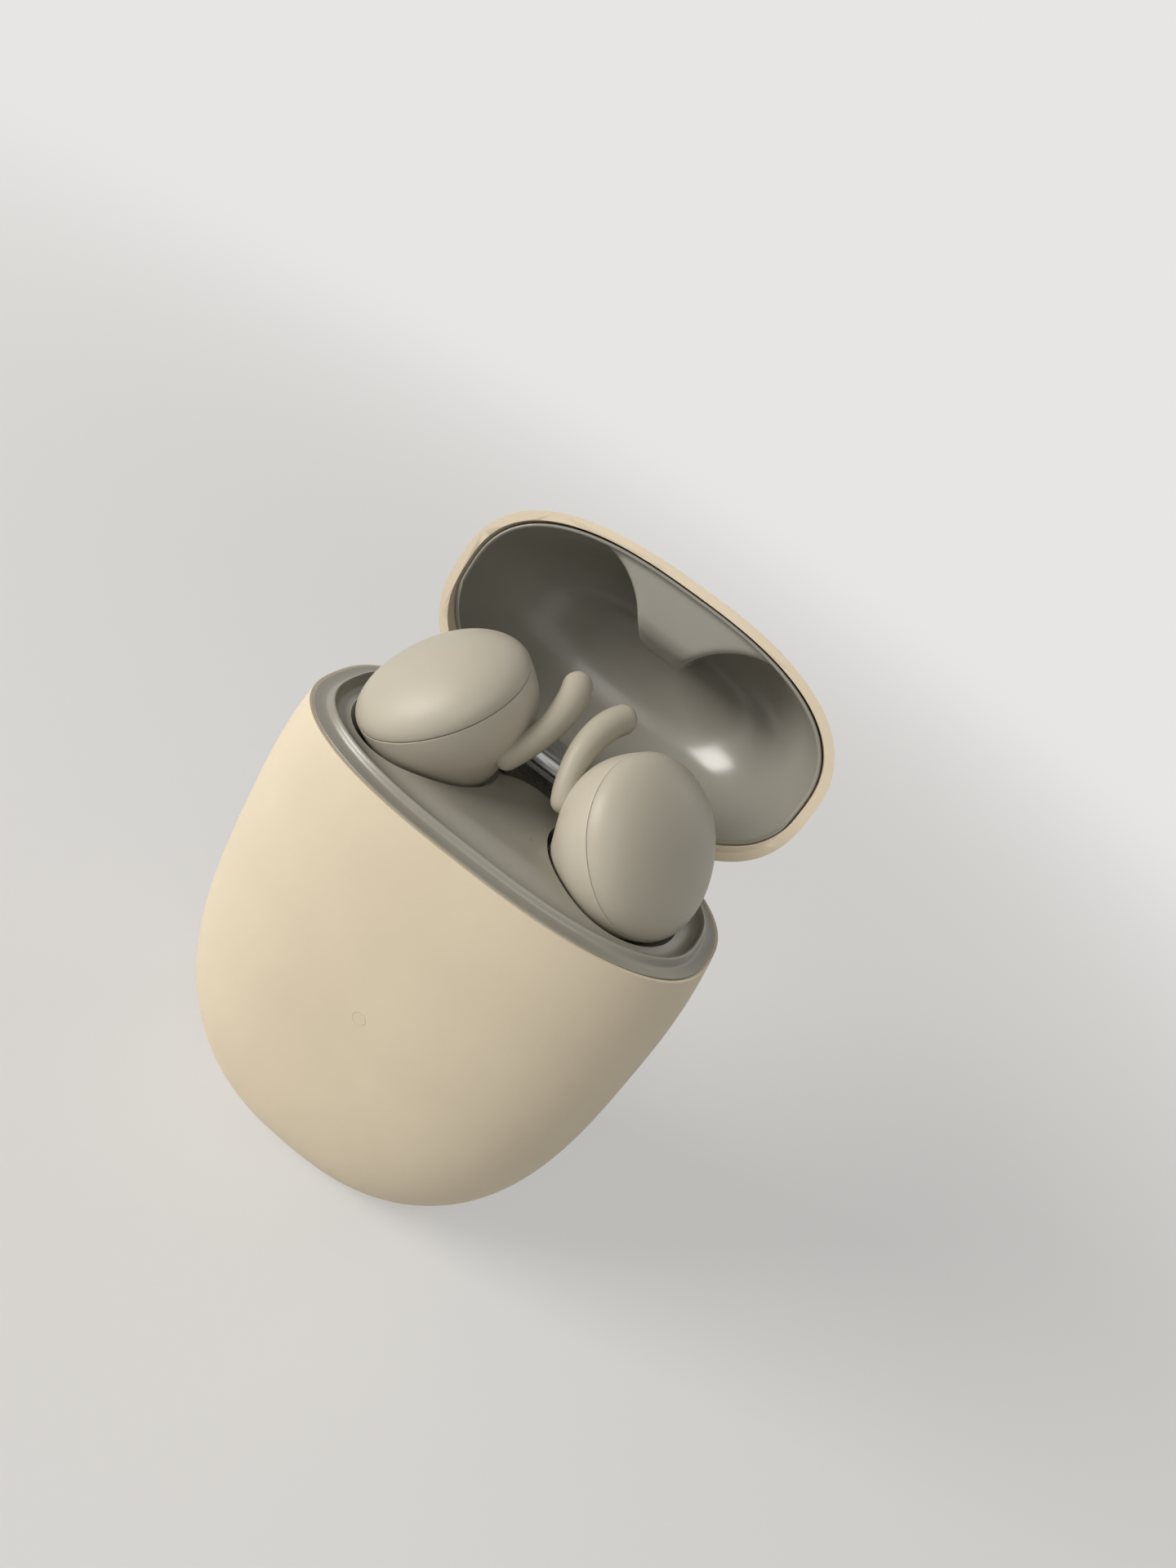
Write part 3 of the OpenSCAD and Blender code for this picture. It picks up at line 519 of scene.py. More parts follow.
def add_housing_form(name):
    """The closed form of a right housing: the fuller ball drawn down to the round boss over the ear tip."""
    levels = [(radius * mm, radius * mm, height * mm) for radius, height in boss_levels]
    bpy.ops.object.select_all(action="DESELECT")
    bpy.ops.mesh.primitive_circle_add(vertices=96, radius=levels[0][0], fill_type="NOTHING")
    boss = bpy.context.object
    boss.data.transform(Matrix.Translation((0, 0, levels[0][2])))
    extrude_levels(boss, levels)
    boss.data.transform(bud_axes.inverted() @ Matrix.Translation((cup_place.x, cup_place.y, 0)))
    form = add_bud_form(name, bud_radius, housing_depth, housing_power)
    boss.select_set(True)
    bpy.ops.object.join()
    bpy.ops.object.mode_set(mode="EDIT")
    bpy.ops.mesh.select_all(action="SELECT")
    bpy.ops.mesh.convex_hull()
    bpy.ops.object.mode_set(mode="OBJECT")
    finish_with(form, "REMESH", mode="VOXEL", voxel_size=form_voxel)
    finish_with(form, "SMOOTH", factor=0.5, iterations=16)
    return form


def swell(piece, amount):
    """Push a closed form's whole skin out by an amount."""
    finish_with(piece, "DISPLACE", strength=amount, mid_level=0.0, direction="NORMAL")


def add_ring(name, wide, deep, z, points=ring_points):
    """An open ring with the egg's plan, ready to be extruded level by level."""
    bpy.ops.object.select_all(action="DESELECT")
    bpy.ops.mesh.primitive_circle_add(vertices=points, radius=1, fill_type="NOTHING")
    ring = bpy.context.object
    ring.name = name
    for vertex in ring.data.vertices:
        around = math.atan2(vertex.co.y, vertex.co.x)
        vertex.co.x = wide * signed_power(math.cos(around), 2 / plan_power)
        vertex.co.y = deep * signed_power(math.sin(around), 2 / plan_power)
        vertex.co.z = z
    return ring


def extrude_levels(ring, levels, closed=True):
    """Extrude a ring's last edge through levels of (half width, half depth, height), and close both ends."""
    bpy.context.view_layer.objects.active = ring
    bpy.ops.object.mode_set(mode="EDIT")
    bpy.ops.mesh.select_all(action="SELECT")
    if closed:
        bpy.ops.mesh.edge_face_add()
    for last, level in zip(levels, levels[1:]):
        bpy.ops.mesh.extrude_edges_move()
        bpy.ops.transform.resize(
            value=(level[0] / last[0], level[1] / last[1], 1), center_override=(0, 0, last[2]))
        bpy.ops.transform.translate(value=(0, 0, level[2] - last[2]))
    if closed:
        bpy.ops.mesh.edge_face_add()
    bpy.ops.mesh.select_all(action="SELECT")
    bpy.ops.mesh.remove_doubles(threshold=0.001 * mm)
    bpy.ops.mesh.normals_make_consistent(inside=False)
    bpy.ops.object.mode_set(mode="OBJECT")


collar_levels = []
for inset, lift in collar_profile:
    wide, deep = egg_half_sizes(seam_z + lift * mm)
    collar_levels.append((wide - inset * mm, deep - inset * mm, seam_z + lift * mm))
bud_tray = add_ring("case_bud_tray", *collar_levels[0])
extrude_levels(bud_tray, collar_levels)
tray_cuts = []
for side in (-1, 1):
    cup_top_z = tray_floor_z + cup_overlap
    cup_middle = Vector((side * cup_place.x, cup_place.y, (tray_low.z + cup_top_z) / 2))
    cup = add_drum(cup_middle, cup_radius + cup_wall, cup_top_z - tray_low.z)
    finish_with(bud_tray, "BOOLEAN", object=cup, operation="UNION", solver="EXACT")
    bpy.data.objects.remove(cup)
    nest = add_housing_form("nest")
    swell(nest, nest_gap)
    nest.data.transform(bud_axes)
    set_on_side(nest, side)
    tray_cuts.append(nest)
    for step in (-pin_half_pitch, pin_half_pitch):
        pin_middle = (side * pin_place.x, pin_place.y + step, ledge_z)
        tray_cuts.append(add_drum(pin_middle, pin_hole_radius, 8 * mm, sides=48))
    cup_height = plateau_z + cup_overlap - cup_floor_z
    tray_cuts.append(
        add_drum((side * cup_place.x, cup_place.y, cup_floor_z + cup_height / 2), cup_radius, cup_height))
recess = add_block(
    (-recess_half_width, recess_front_y, recess_floor_z), (recess_half_width, recess_back_y, over_tray_z))
plateau_tip = add_drum((0, plateau_tip_y, seam_z), plateau_tip_radius, 30 * mm)
cut_away(recess, plateau_tip)
tray_cuts.append(recess)
tray_cuts.append(add_block(
    (-hinge_half_width, hinge_place.y - tray_notch_front, tray_notch_floor_z),
    (hinge_half_width, hinge_place.y + past_back, over_tray_z)))
cut_away(bud_tray, *tray_cuts)
smooth_over(bud_tray, 40)
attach(bud_tray, "case")
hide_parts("bud_tray")
tray_plastic = moulded_plastic(
    "satin_tray_plastic", (0.272, 0.258, 0.215), (0.252, 0.239, 0.199), 0.24, 0.36, 0.004 * mm, specular=0.5)
bud_tray.data.materials.append(tray_plastic)

# Lid shell
# The top of the egg, moulded in the same cream plastic as the body and hung on the hinge behind the seam.
# It is drawn shut, with the closed seam's narrow gap, and then swung open as the frame holds it.
lid_wall = 0.95 * mm
seam_gap = 0.2 * mm
lid_rounding = 0.25 * mm
lid_notch_rounding = 0.3 * mm
lid_angle = math.radians(hinge["range_deg"][1])
swing_open = (
    Matrix.Translation(hinge_place) @ Matrix.Rotation(-lid_angle, 4, "X") @ Matrix.Translation(-hinge_place))
lid_shell = add_egg("lid_outer_shell")
slice_off(lid_shell, seam_z - 2 * seam_gap, keep_upper=True)
finish_with(lid_shell, "SOLIDIFY", thickness=lid_wall, offset=-1, use_even_offset=True)
lid_notch = add_block(
    (-hinge_half_width, hinge_place.y - barrel_room, seam_z - 3 * mm),
    (hinge_half_width, hinge_place.y + past_back, hinge_place.z + barrel_room), lid_notch_rounding)
below_rim = add_block((-30 * mm, -30 * mm, seam_z - 5 * mm), (30 * mm, 30 * mm, seam_z + seam_gap))
cut_away(lid_shell, lid_notch, below_rim)
round_edges(lid_shell, lid_rounding, 4)
lid_shell.data.transform(swing_open)
smooth_over(lid_shell)
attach(lid_shell, "lid")
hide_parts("lid_shell")
lid_shell.data.materials.append(shell_plastic)

# Lid liner
# A thin glossy grey moulding that lines the lid from the inside: two deep hollows that clear the tops of
# the earbuds, a saddle between them at the front that hides the magnet, and a round bead along its edge.
liner_back_inset = 1.05 * mm
liner_front_inset = 1.45 * mm
liner_rim_z = seam_z + 0.9 * mm
liner_edge = [
    (1.45, 0.62), (1.43, 0.52), (1.37, 0.44), (1.28, 0.41), (1.19, 0.44), (1.12, 0.52), (1.07, 0.66),
    (1.05, 0.90)]
liner_back_edge = [(1.0, 40.0), (1.0, 46.3), (7.5, 47.94), (16.0, 47.94), (16.0, 40.0)]
bowl_place = Vector((11.3, -0.8, 0)) * mm
bowl_radius = 9.2 * mm
saddle_low = 44 * mm
saddle_high = 66 * mm
saddle_outline = [
    (-15.0, 43.0), (-15.0, 47.10), (-6.4, 47.15), (-5.7, 47.35), (-5.1, 47.80), (-4.5, 48.60),
    (-4.0, 49.55), (-3.4, 51.2), (-3.0, 53.5), (-2.4, 66.50), (16.0, 66.50), (16.0, 43.0)]
saddle_voxel = 0.24 * mm
saddle_front_y = -15 * mm
saddle_back_y = 4 * mm
liner_weld = 0.02 * mm
liner_notch_front = 2.2 * mm
liner_notch_top = 5 * mm


def add_prism(outline, half_length):
    """A bar across the case with one outline all the way, given as depths and heights in millimetres."""
    bpy.ops.object.select_all(action="DESELECT")
    bpy.ops.mesh.primitive_circle_add(vertices=len(outline), radius=1, fill_type="NGON")
    prism = bpy.context.object
    for vertex, (depth, height) in zip(prism.data.vertices, outline):
        vertex.co = (-half_length, depth * mm, height * mm)
    bpy.ops.object.mode_set(mode="EDIT")
    bpy.ops.mesh.select_all(action="SELECT")
    bpy.ops.mesh.extrude_region_move(TRANSFORM_OT_translate={"value": (2 * half_length, 0, 0)})
    bpy.ops.mesh.select_all(action="SELECT")
    bpy.ops.mesh.normals_make_consistent(inside=False)
    bpy.ops.object.mode_set(mode="OBJECT")
    return prism


lid_liner = add_egg("lid_inner_liner", liner_front_inset)
slice_off(lid_liner, liner_rim_z, keep_upper=True)
bpy.ops.object.mode_set(mode="EDIT")
bpy.ops.mesh.select_all(action="SELECT")
bpy.ops.mesh.flip_normals()
bpy.ops.mesh.select_all(action="DESELECT")
bpy.ops.mesh.select_non_manifold()
last = (*egg_half_sizes(liner_rim_z, liner_front_inset), liner_rim_z)
for inset, lift in liner_edge:
    z = seam_z + lift * mm
    level = (*egg_half_sizes(z, inset * mm), z)
    bpy.ops.mesh.extrude_edges_move()
    bpy.ops.transform.resize(
        value=(level[0] / last[0], level[1] / last[1], 1), center_override=(0, 0, last[2]))
    bpy.ops.transform.translate(value=(0, 0, level[2] - last[2]))
    last = level
bpy.ops.object.mode_set(mode="OBJECT")
liner_back = add_egg("liner_back", liner_back_inset)
slice_off(liner_back, liner_rim_z, keep_upper=True)
bpy.ops.object.select_all(action="DESELECT")
liner_back.select_set(True)
lid_liner.select_set(True)
bpy.context.view_layer.objects.active = lid_liner
bpy.ops.object.join()
bpy.ops.object.mode_set(mode="EDIT")
bpy.ops.mesh.select_all(action="SELECT")
bpy.ops.mesh.remove_doubles(threshold=liner_weld)
bpy.ops.mesh.normals_make_consistent(inside=False)
bpy.ops.object.mode_set(mode="OBJECT")
saddle = add_block(
    (-bowl_place.x, saddle_front_y, saddle_low), (bowl_place.x, saddle_back_y, saddle_high))
cut_away(
    saddle, add_prism(saddle_outline, 2 * bowl_place.x),
    add_drum((bowl_place.x, bowl_place.y, saddle_low), bowl_radius, 60 * mm),
    add_drum((-bowl_place.x, bowl_place.y, saddle_low), bowl_radius, 60 * mm))
finish_with(saddle, "REMESH", mode="VOXEL", voxel_size=saddle_voxel)
finish_with(saddle, "SMOOTH", factor=0.5, iterations=34)
lid_inside = add_egg("lid_inside", (liner_back_inset + liner_front_inset) / 2)
finish_with(saddle, "BOOLEAN", object=lid_inside, operation="INTERSECT", solver="EXACT")
bpy.data.objects.remove(lid_inside)
finish_with(lid_liner, "BOOLEAN", object=saddle, operation="UNION", solver="EXACT")
bpy.data.objects.remove(saddle)
hinge_room = add_block(
    (-hinge_half_width, hinge_place.y - liner_notch_front, seam_z - 3 * mm),
    (hinge_half_width, hinge_place.y + past_back, hinge_place.z + liner_notch_top))
cut_away(lid_liner, add_prism(liner_back_edge, 30 * mm), hinge_room)
lid_liner.data.transform(swing_open)
smooth_over(lid_liner, 40)
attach(lid_liner, "lid")
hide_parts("lid_liner")
liner_plastic = moulded_plastic(
    "glossy_liner_plastic", (0.280, 0.268, 0.232), (0.260, 0.249, 0.215),
    0.16, 0.26, 0.003 * mm, specular=0.5)
lid_liner.data.materials.append(liner_plastic)

# Earbud caps and housings
# Each earbud is two domed mouldings glued rim to rim: a matte cream touch cap that faces outwards and a
# greyer satin housing behind it that holds the driver, cell and board. A fine groove shows where they meet.
cap_height = 3.9 * mm
bud_wall = 0.9 * mm
bud_rounding = 0.14 * mm
seam_line = 0.08 * mm


def wall_and_round(piece):
    """Give an open dome its wall, and round its rim a little."""
    finish_with(piece, "SOLIDIFY", thickness=bud_wall, offset=-1, use_even_offset=True)
    round_edges(piece, bud_rounding, 3)


cap_plastic = moulded_plastic(
    "cream_cap_plastic", (0.434, 0.400, 0.325), (0.411, 0.380, 0.308), 0.40, 0.52, 0.006 * mm, specular=0.4)
housing_plastic = moulded_plastic(
    "grey_housing_plastic", (0.490, 0.452, 0.372), (0.464, 0.428, 0.351),
    0.30, 0.42, 0.005 * mm, specular=0.45)
sides = {"left": -1, "right": 1}
for word, side in sides.items():
    cap = add_bud_form(word + "_cap_dome", bud_radius, cap_height)
    slice_off(cap, 0, keep_upper=True)
    wall_and_round(cap)
    cap.data.transform(Matrix.Translation((0, 0, seam_line)))
    housing = add_housing_form(word + "_housing_dome")
    slice_off(housing, 0, keep_upper=False)
    wall_and_round(housing)
    for piece, node, slot, material in (
            (cap, "_bud_cap", "bud_cap", cap_plastic),
            (housing, "_bud_body", "bud_housing", housing_plastic)):
        piece.data.transform(bud_axes)
        set_on_side(piece, side)
        smooth_over(piece)
        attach(piece, word + "_bud")
        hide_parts(word + node)
        piece.data.materials.append(material)

# Stabiliser arcs
# A soft rubber stalk that springs against the ear: it grows out of the inner side of the housing, bows up and
# back beside it, and ends free and round. Moulded with a slim root and a thicker end.
arc_root = bud_place + Vector((-7.9, -1.5, -1.8)) * mm
arc_middle = bud_place + Vector((-9.6, 1.7, 2.9)) * mm
arc_end = bud_place + Vector((-8.8, 5.9, 5.1)) * mm
arc_root_radius = 1.2 * mm
arc_end_radius = 1.45 * mm
arc_points = 56


def smooth_step(value, low, high):
    """A share from 0 to 1 that starts and ends gently between two values."""
    share = max(0.0, min(1.0, (value - low) / (high - low)))
    return share * share * (3 - 2 * share)


edge_a = arc_middle - arc_root
edge_b = arc_end - arc_root
arc_axis = edge_a.cross(edge_b)
to_centre = edge_b.length_squared * arc_axis.cross(edge_a) + edge_a.length_squared * edge_b.cross(arc_axis)
arc_centre = arc_root + to_centre / (2 * arc_axis.length_squared)
arc_axis.normalize()
arc_across = (arc_root - arc_centre).normalized()
arc_along = arc_axis.cross(arc_across)
bow = (arc_root - arc_centre).length
end_arm = arc_end - arc_centre
end_angle = math.atan2(end_arm.dot(arc_along), end_arm.dot(arc_across)) + arc_end_radius / bow
root_angle = -0.5 * arc_root_radius / bow
arc_length = bow * (end_angle - root_angle)
arc_rubber = moulded_plastic(
    "grey_arc_rubber", (0.405, 0.376, 0.298), (0.376, 0.349, 0.276), 0.42, 0.54, 0.006 * mm, specular=0.4)
for word, side in sides.items():
    bpy.ops.object.select_all(action="DESELECT")
    bpy.ops.curve.primitive_nurbs_path_add()
    path = bpy.context.object
    path.name = word + "_arc_stalk"
    path.data.splines.clear()
    spline = path.data.splines.new("POLY")
    spline.points.add(arc_points)
    for index, point in enumerate(spline.points):
        share = (1 - math.cos(math.pi * index / arc_points)) / 2
        angle = root_angle + (end_angle - root_angle) * share
        to_end = min(share * arc_length / arc_root_radius, (1 - share) * arc_length / arc_end_radius)
        end_round = math.sqrt(max(0.0, 1 - max(0.0, 1 - to_end) ** 2))
        middle = arc_centre + bow * (math.cos(angle) * arc_across + math.sin(angle) * arc_along)
        thickness = arc_root_radius + (arc_end_radius - arc_root_radius) * smooth_step(share, 0.2, 0.8)
        point.co = (*middle, 1)
        point.radius = max(0.02, end_round) * thickness / arc_end_radius
    path.data.dimensions = "3D"
    path.data.bevel_depth = arc_end_radius
    path.data.bevel_resolution = 8
    path.data.use_fill_caps = True
    bpy.ops.object.convert(target="MESH")
    arc = bpy.context.object
    set_on_side(arc, side)
    smooth_over(arc, 60)
    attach(arc, word + "_bud")
    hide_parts(word + "_bud_arc")
    arc.data.materials.append(arc_rubber)

# Ear tips
# A soft silicone mushroom pushed over the nozzle: a sleeve that grips it, and a thin skirt that turns back
# over the sleeve and seals the ear. Moulded in one, a little darker than the housing, with a dull skin.
tip_profile = [
    (1.75, 44.00), (1.75, 37.30), (1.85, 36.95), (2.15, 36.75), (2.70, 36.76), (3.40, 37.05), (4.10, 37.70),
    (4.70, 38.75), (5.05, 40.10), (5.18, 41.60), (5.18, 42.80), (5.10, 43.45), (4.96, 43.62), (4.82, 43.42),
    (4.76, 42.40), (4.60, 41.00), (4.20, 39.80), (3.60, 39.10), (3.05, 39.05), (2.75, 39.45), (2.66, 40.20),
    (2.66, 43.70), (2.55, 43.92), (2.30, 44.00), (1.75, 44.00)]
tip_silicone = moulded_plastic(
    "dull_tip_silicone", (0.300, 0.285, 0.245), (0.270, 0.256, 0.220),
    0.46, 0.60, 0.008 * mm, 0.35, 2600.0, 140.0)
for word, side in sides.items():
    levels = [(radius * mm, radius * mm, height * mm) for radius, height in tip_profile]
    bpy.ops.object.select_all(action="DESELECT")
    bpy.ops.mesh.primitive_circle_add(vertices=96, radius=levels[0][0], fill_type="NOTHING")
    tip = bpy.context.object
    tip.name = word + "_ear_tip"
    tip.data.transform(Matrix.Translation((0, 0, levels[0][2])))
    extrude_levels(tip, levels, closed=False)
    tip.data.transform(Matrix.Translation((side * cup_place.x, cup_place.y, 0)))
    smooth_over(tip, 50)
    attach(tip, word + "_bud")
    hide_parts(word + "_bud_tip")
    tip.data.materials.append(tip_silicone)

# Charging contacts and pins
# Two gold-plated pads let into the low end of each housing, and under them two spring pins that stand up out
# of a black block below the nest and press on the pads. The pads are cut flush with the housing's skin.
pad_radius = 0.62 * mm
pad_proud = 0.03 * mm
pin_radius = 0.42 * mm
pin_foot_radius = 0.56 * mm
pin_low, pin_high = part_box("right_charge_pins")
pin_step_z = pin_high.z - 1.1 * mm
shank_overlap = 0.3 * mm
foot_rounding = 0.1 * mm
shank_rounding = 0.2 * mm

# Bare and plated metal shows the marks of rolling and brushing: fine streaks along one direction, in which
# the gloss changes from line to line.
brushed = bpy.data.node_groups.new("brushed_surface", "ShaderNodeTree")
add_group_input(brushed, "Colour", "NodeSocketColor", (0.5, 0.5, 0.5, 1))
add_group_input(brushed, "Dull colour", "NodeSocketColor", (0.4, 0.4, 0.4, 1))
add_group_input(brushed, "Streaks", "NodeSocketVector", (400.0, 9000.0, 9000.0))
add_group_input(brushed, "Smoothest", "NodeSocketFloat", 0.2)
add_group_input(brushed, "Roughest", "NodeSocketFloat", 0.4)
brushed.interface.new_socket("Colour", in_out="OUTPUT", socket_type="NodeSocketColor")
brushed.interface.new_socket("Roughness", in_out="OUTPUT", socket_type="NodeSocketFloat")
brushed.interface.new_socket("Height", in_out="OUTPUT", socket_type="NodeSocketFloat")
nodes = brushed.nodes
links = brushed.links
entry = nodes.new("NodeGroupInput")
outlet = nodes.new("NodeGroupOutput")
place = nodes.new("ShaderNodeTexCoord")
stretch = nodes.new("ShaderNodeMapping")
streak = nodes.new("ShaderNodeTexNoise")
streak.inputs["Scale"].default_value = 1
streak.inputs["Detail"].default_value = 3
tarnish = nodes.new("ShaderNodeTexNoise")
tarnish.inputs["Scale"].default_value = 350
tarnish.inputs["Detail"].default_value = 4
tone = nodes.new("ShaderNodeMix")
tone.data_type = "RGBA"
sheen = nodes.new("ShaderNodeMapRange")
links.new(place.outputs["Object"], stretch.inputs["Vector"])
links.new(entry.outputs["Streaks"], stretch.inputs["Scale"])
links.new(stretch.outputs["Vector"], streak.inputs["Vector"])
links.new(place.outputs["Object"], tarnish.inputs["Vector"])
links.new(tarnish.outputs["Fac"], tone.inputs["Factor"])
links.new(entry.outputs["Colour"], tone.inputs["A"])
links.new(entry.outputs["Dull colour"], tone.inputs["B"])
links.new(streak.outputs["Fac"], sheen.inputs["Value"])
links.new(entry.outputs["Smoothest"], sheen.inputs["To Min"])
links.new(entry.outputs["Roughest"], sheen.inputs["To Max"])
links.new(tone.outputs["Result"], outlet.inputs["Colour"])
links.new(sheen.outputs["Result"], outlet.inputs["Roughness"])
links.new(streak.outputs["Fac"], outlet.inputs["Height"])


def brushed_metal(name, colour, dull_colour, streaks, smoothest, roughest, depth):
    """A bare or plated metal: the shared brushed group with this piece's own colour and streaks."""
    material = start_material(name, colour, roughest)
    nodes = material.node_tree.nodes
    links = material.node_tree.links
    shader = nodes["Principled BSDF"]
    shader.inputs["Metallic"].default_value = 1.0
    surface = nodes.new("ShaderNodeGroup")
    surface.node_tree = brushed
    surface.inputs["Colour"].default_value = (*colour, 1)
    surface.inputs["Dull colour"].default_value = (*dull_colour, 1)
    surface.inputs["Streaks"].default_value = streaks
    surface.inputs["Smoothest"].default_value = smoothest
    surface.inputs["Roughest"].default_value = roughest
    bump = nodes.new("ShaderNodeBump")
    bump.inputs["Distance"].default_value = depth
    links.new(surface.outputs["Colour"], shader.inputs["Base Color"])
    links.new(surface.outputs["Roughness"], shader.inputs["Roughness"])
    links.new(surface.outputs["Height"], bump.inputs["Height"])
    links.new(bump.outputs["Normal"], shader.inputs["Normal"])
    return material


def dress(material, *names):
    """Give the frame's own pieces a material in every slot that they have."""
    for name in names:
        slots = frame["nodes"][name].data.materials
        for index in range(len(slots)):
            slots[index] = material
        if not slots:
            slots.append(material)


even_streaks = (6000.0, 6000.0, 6000.0)
contact_gold = brushed_metal(
    "plated_contact_gold", (0.83, 0.60, 0.27), (0.72, 0.50, 0.22), even_streaks, 0.16, 0.32, 0.002 * mm)
block_plastic = moulded_plastic(
    "black_block_plastic", (0.030, 0.030, 0.032), (0.042, 0.042, 0.043),
    0.45, 0.60, 0.006 * mm, specular=0.45)
skin = add_housing_form("skin")
swell(skin, pad_proud)
skin.data.transform(bud_axes)
for word, side in sides.items():
    pads = None
    pins = None
    for step in (-pin_half_pitch, pin_half_pitch):
        spot = Vector((pin_place.x, pin_place.y + step, 0))
        pad = add_drum(spot + Vector((0, 0, pin_high.z)), pad_radius, 3 * mm, sides=48)
        finish_with(pad, "BOOLEAN", object=skin, operation="INTERSECT", solver="EXACT")
        foot_height = pin_step_z - pin_low.z
        foot_middle = spot + Vector((0, 0, pin_low.z + foot_height / 2))
        pin = add_drum(foot_middle, pin_foot_radius, foot_height, sides=48)
        round_edges(pin, foot_rounding, 3)
        shank_height = pin_high.z - pin_step_z + shank_overlap
        shank_middle = spot + Vector((0, 0, pin_step_z - shank_overlap + shank_height / 2))
        shank = add_drum(shank_middle, pin_radius, shank_height, sides=48)
        round_edges(shank, shank_rounding, 4)
        finish_with(pin, "BOOLEAN", object=shank, operation="UNION", solver="EXACT")
        bpy.data.objects.remove(shank)
        finish_with(pin, "BOOLEAN", object=skin, operation="DIFFERENCE", solver="EXACT")
        for piece, earlier in ((pad, pads), (pin, pins)):
            if earlier:
                bpy.ops.object.select_all(action="DESELECT")
                piece.select_set(True)
                earlier.select_set(True)
                bpy.context.view_layer.objects.active = earlier
                bpy.ops.object.join()
        pads = pads or pad
        pins = pins or pin
    for piece, name, body, node in (
            (pads, "_contact_pads", "_bud", "_bud_contacts"),
            (pins, "_spring_pins", "_pins", "_charge_pins")):
        piece.name = word + name
        set_on_side(piece, side)
        smooth_over(piece)
        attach(piece, word + body)
        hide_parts(word + node)
        piece.data.materials.append(contact_gold)
bpy.data.objects.remove(skin)
dress(block_plastic, "left_pin_block", "right_pin_block")

# Hinge
# A folded steel leaf screwed under the lid turns on a ground pin in two knuckles of a bracket in the body.
# All three are bright stainless, the leaf and bracket rolled along the case's width and the pin turned.
hinge_steel = brushed_metal(
    "rolled_hinge_steel", (0.56, 0.56, 0.55), (0.46, 0.46, 0.45),
    (300.0, 9000.0, 9000.0), 0.20, 0.38, 0.004 * mm)
pin_steel = brushed_metal(
    "turned_pin_steel", (0.62, 0.62, 0.61), (0.52, 0.52, 0.51),
    (14000.0, 300.0, 300.0), 0.14, 0.28, 0.003 * mm)
dress(hinge_steel, "hinge_leaf", "hinge_bracket")
dress(pin_steel, "hinge_pin")

# Pairing button
# A round cream button in the back of the body, turned over at its edge and dished for a fingertip. It slides
# in its hole on the switch behind it.
button_middle_z = (button_low.z + button_high.z) / 2
button_radius = button_high.x
button_length = button_high.y - button_low.y
button_profile = [
    (1.00, 0.00), (1.00, 0.68), (0.985, 0.80), (0.94, 0.89), (0.87, 0.95), (0.77, 0.985), (0.66, 0.985),
    (0.50, 0.95), (0.32, 0.925), (0.14, 0.915), (0.02, 0.913)]
levels = [(button_radius * out, button_radius * out, button_length * along) for out, along in button_profile]
bpy.ops.object.select_all(action="DESELECT")
bpy.ops.mesh.primitive_circle_add(vertices=96, radius=button_radius, fill_type="NOTHING")
button = bpy.context.object
button.name = "dished_pairing_button"
extrude_levels(button, levels)
button.data.transform(
    Matrix.Translation((0, button_low.y, button_middle_z)) @ Matrix.Rotation(-math.pi / 2, 4, "X"))
smooth_over(button, 40)
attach(button, "button")
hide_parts("pairing_button")
button.data.materials.append(shell_plastic)

# Status lamp
# A small light guide in the front of the body, moulded in a milky plastic of the shell's tone so that it
# hardly shows until the lamp behind it is lit.
lens_plastic = moulded_plastic(
    "milky_lens_plastic", (0.650, 0.568, 0.427), (0.630, 0.550, 0.412), 0.48, 0.60, 0.004 * mm, specular=0.4)
lamp_resin = moulded_plastic(
    "clear_lamp_resin", (0.74, 0.72, 0.60), (0.78, 0.70, 0.42), 0.12, 0.22, 0.001 * mm, drift_size=900.0)
dress(lens_plastic, "status_lens")
dress(lamp_resin, "status_led")

# Charging port
# A drawn and folded steel shell in the foot, with a black tongue that carries the contacts, soldered to a
# small green board of its own.
port_steel = brushed_metal(
    "drawn_port_steel", (0.60, 0.59, 0.56), (0.50, 0.49, 0.46),
    (9000.0, 9000.0, 350.0), 0.22, 0.40, 0.003 * mm)
tongue_plastic = moulded_plastic(
    "black_tongue_plastic", (0.028, 0.028, 0.030), (0.040, 0.040, 0.041), 0.35, 0.50, 0.004 * mm)
dress(port_steel, "usb_shell")
dress(tongue_plastic, "usb_tongue")

# Boards, chips and ribbon
# Glass-fibre boards under green solder resist with the copper tracks showing through as paler lines, black
# moulded chips, and an amber ribbon with its tracks side by side.
board_resist = start_material("green_board_resist", (0.030, 0.130, 0.060), 0.35)
nodes = board_resist.node_tree.nodes
links = board_resist.node_tree.links
shader = nodes["Principled BSDF"]
place = nodes.new("ShaderNodeTexCoord")
tracks = nodes.new("ShaderNodeTexBrick")
tracks.offset = 0.37
tracks.inputs["Color1"].default_value = (0.022, 0.105, 0.048, 1)
tracks.inputs["Color2"].default_value = (0.030, 0.135, 0.062, 1)
tracks.inputs["Mortar"].default_value = (0.085, 0.240, 0.110, 1)
tracks.inputs["Scale"].default_value = 520
tracks.inputs["Mortar Size"].default_value = 0.035
weave_bump = nodes.new("ShaderNodeBump")
weave_bump.inputs["Distance"].default_value = 0.02 * mm
links.new(place.outputs["Object"], tracks.inputs["Vector"])
links.new(tracks.outputs["Color"], shader.inputs["Base Color"])
links.new(tracks.outputs["Fac"], weave_bump.inputs["Height"])
links.new(weave_bump.outputs["Normal"], shader.inputs["Normal"])
ribbon_film = start_material("amber_ribbon_film", (0.60, 0.30, 0.07), 0.30)
nodes = ribbon_film.node_tree.nodes
links = ribbon_film.node_tree.links
shader = nodes["Principled BSDF"]
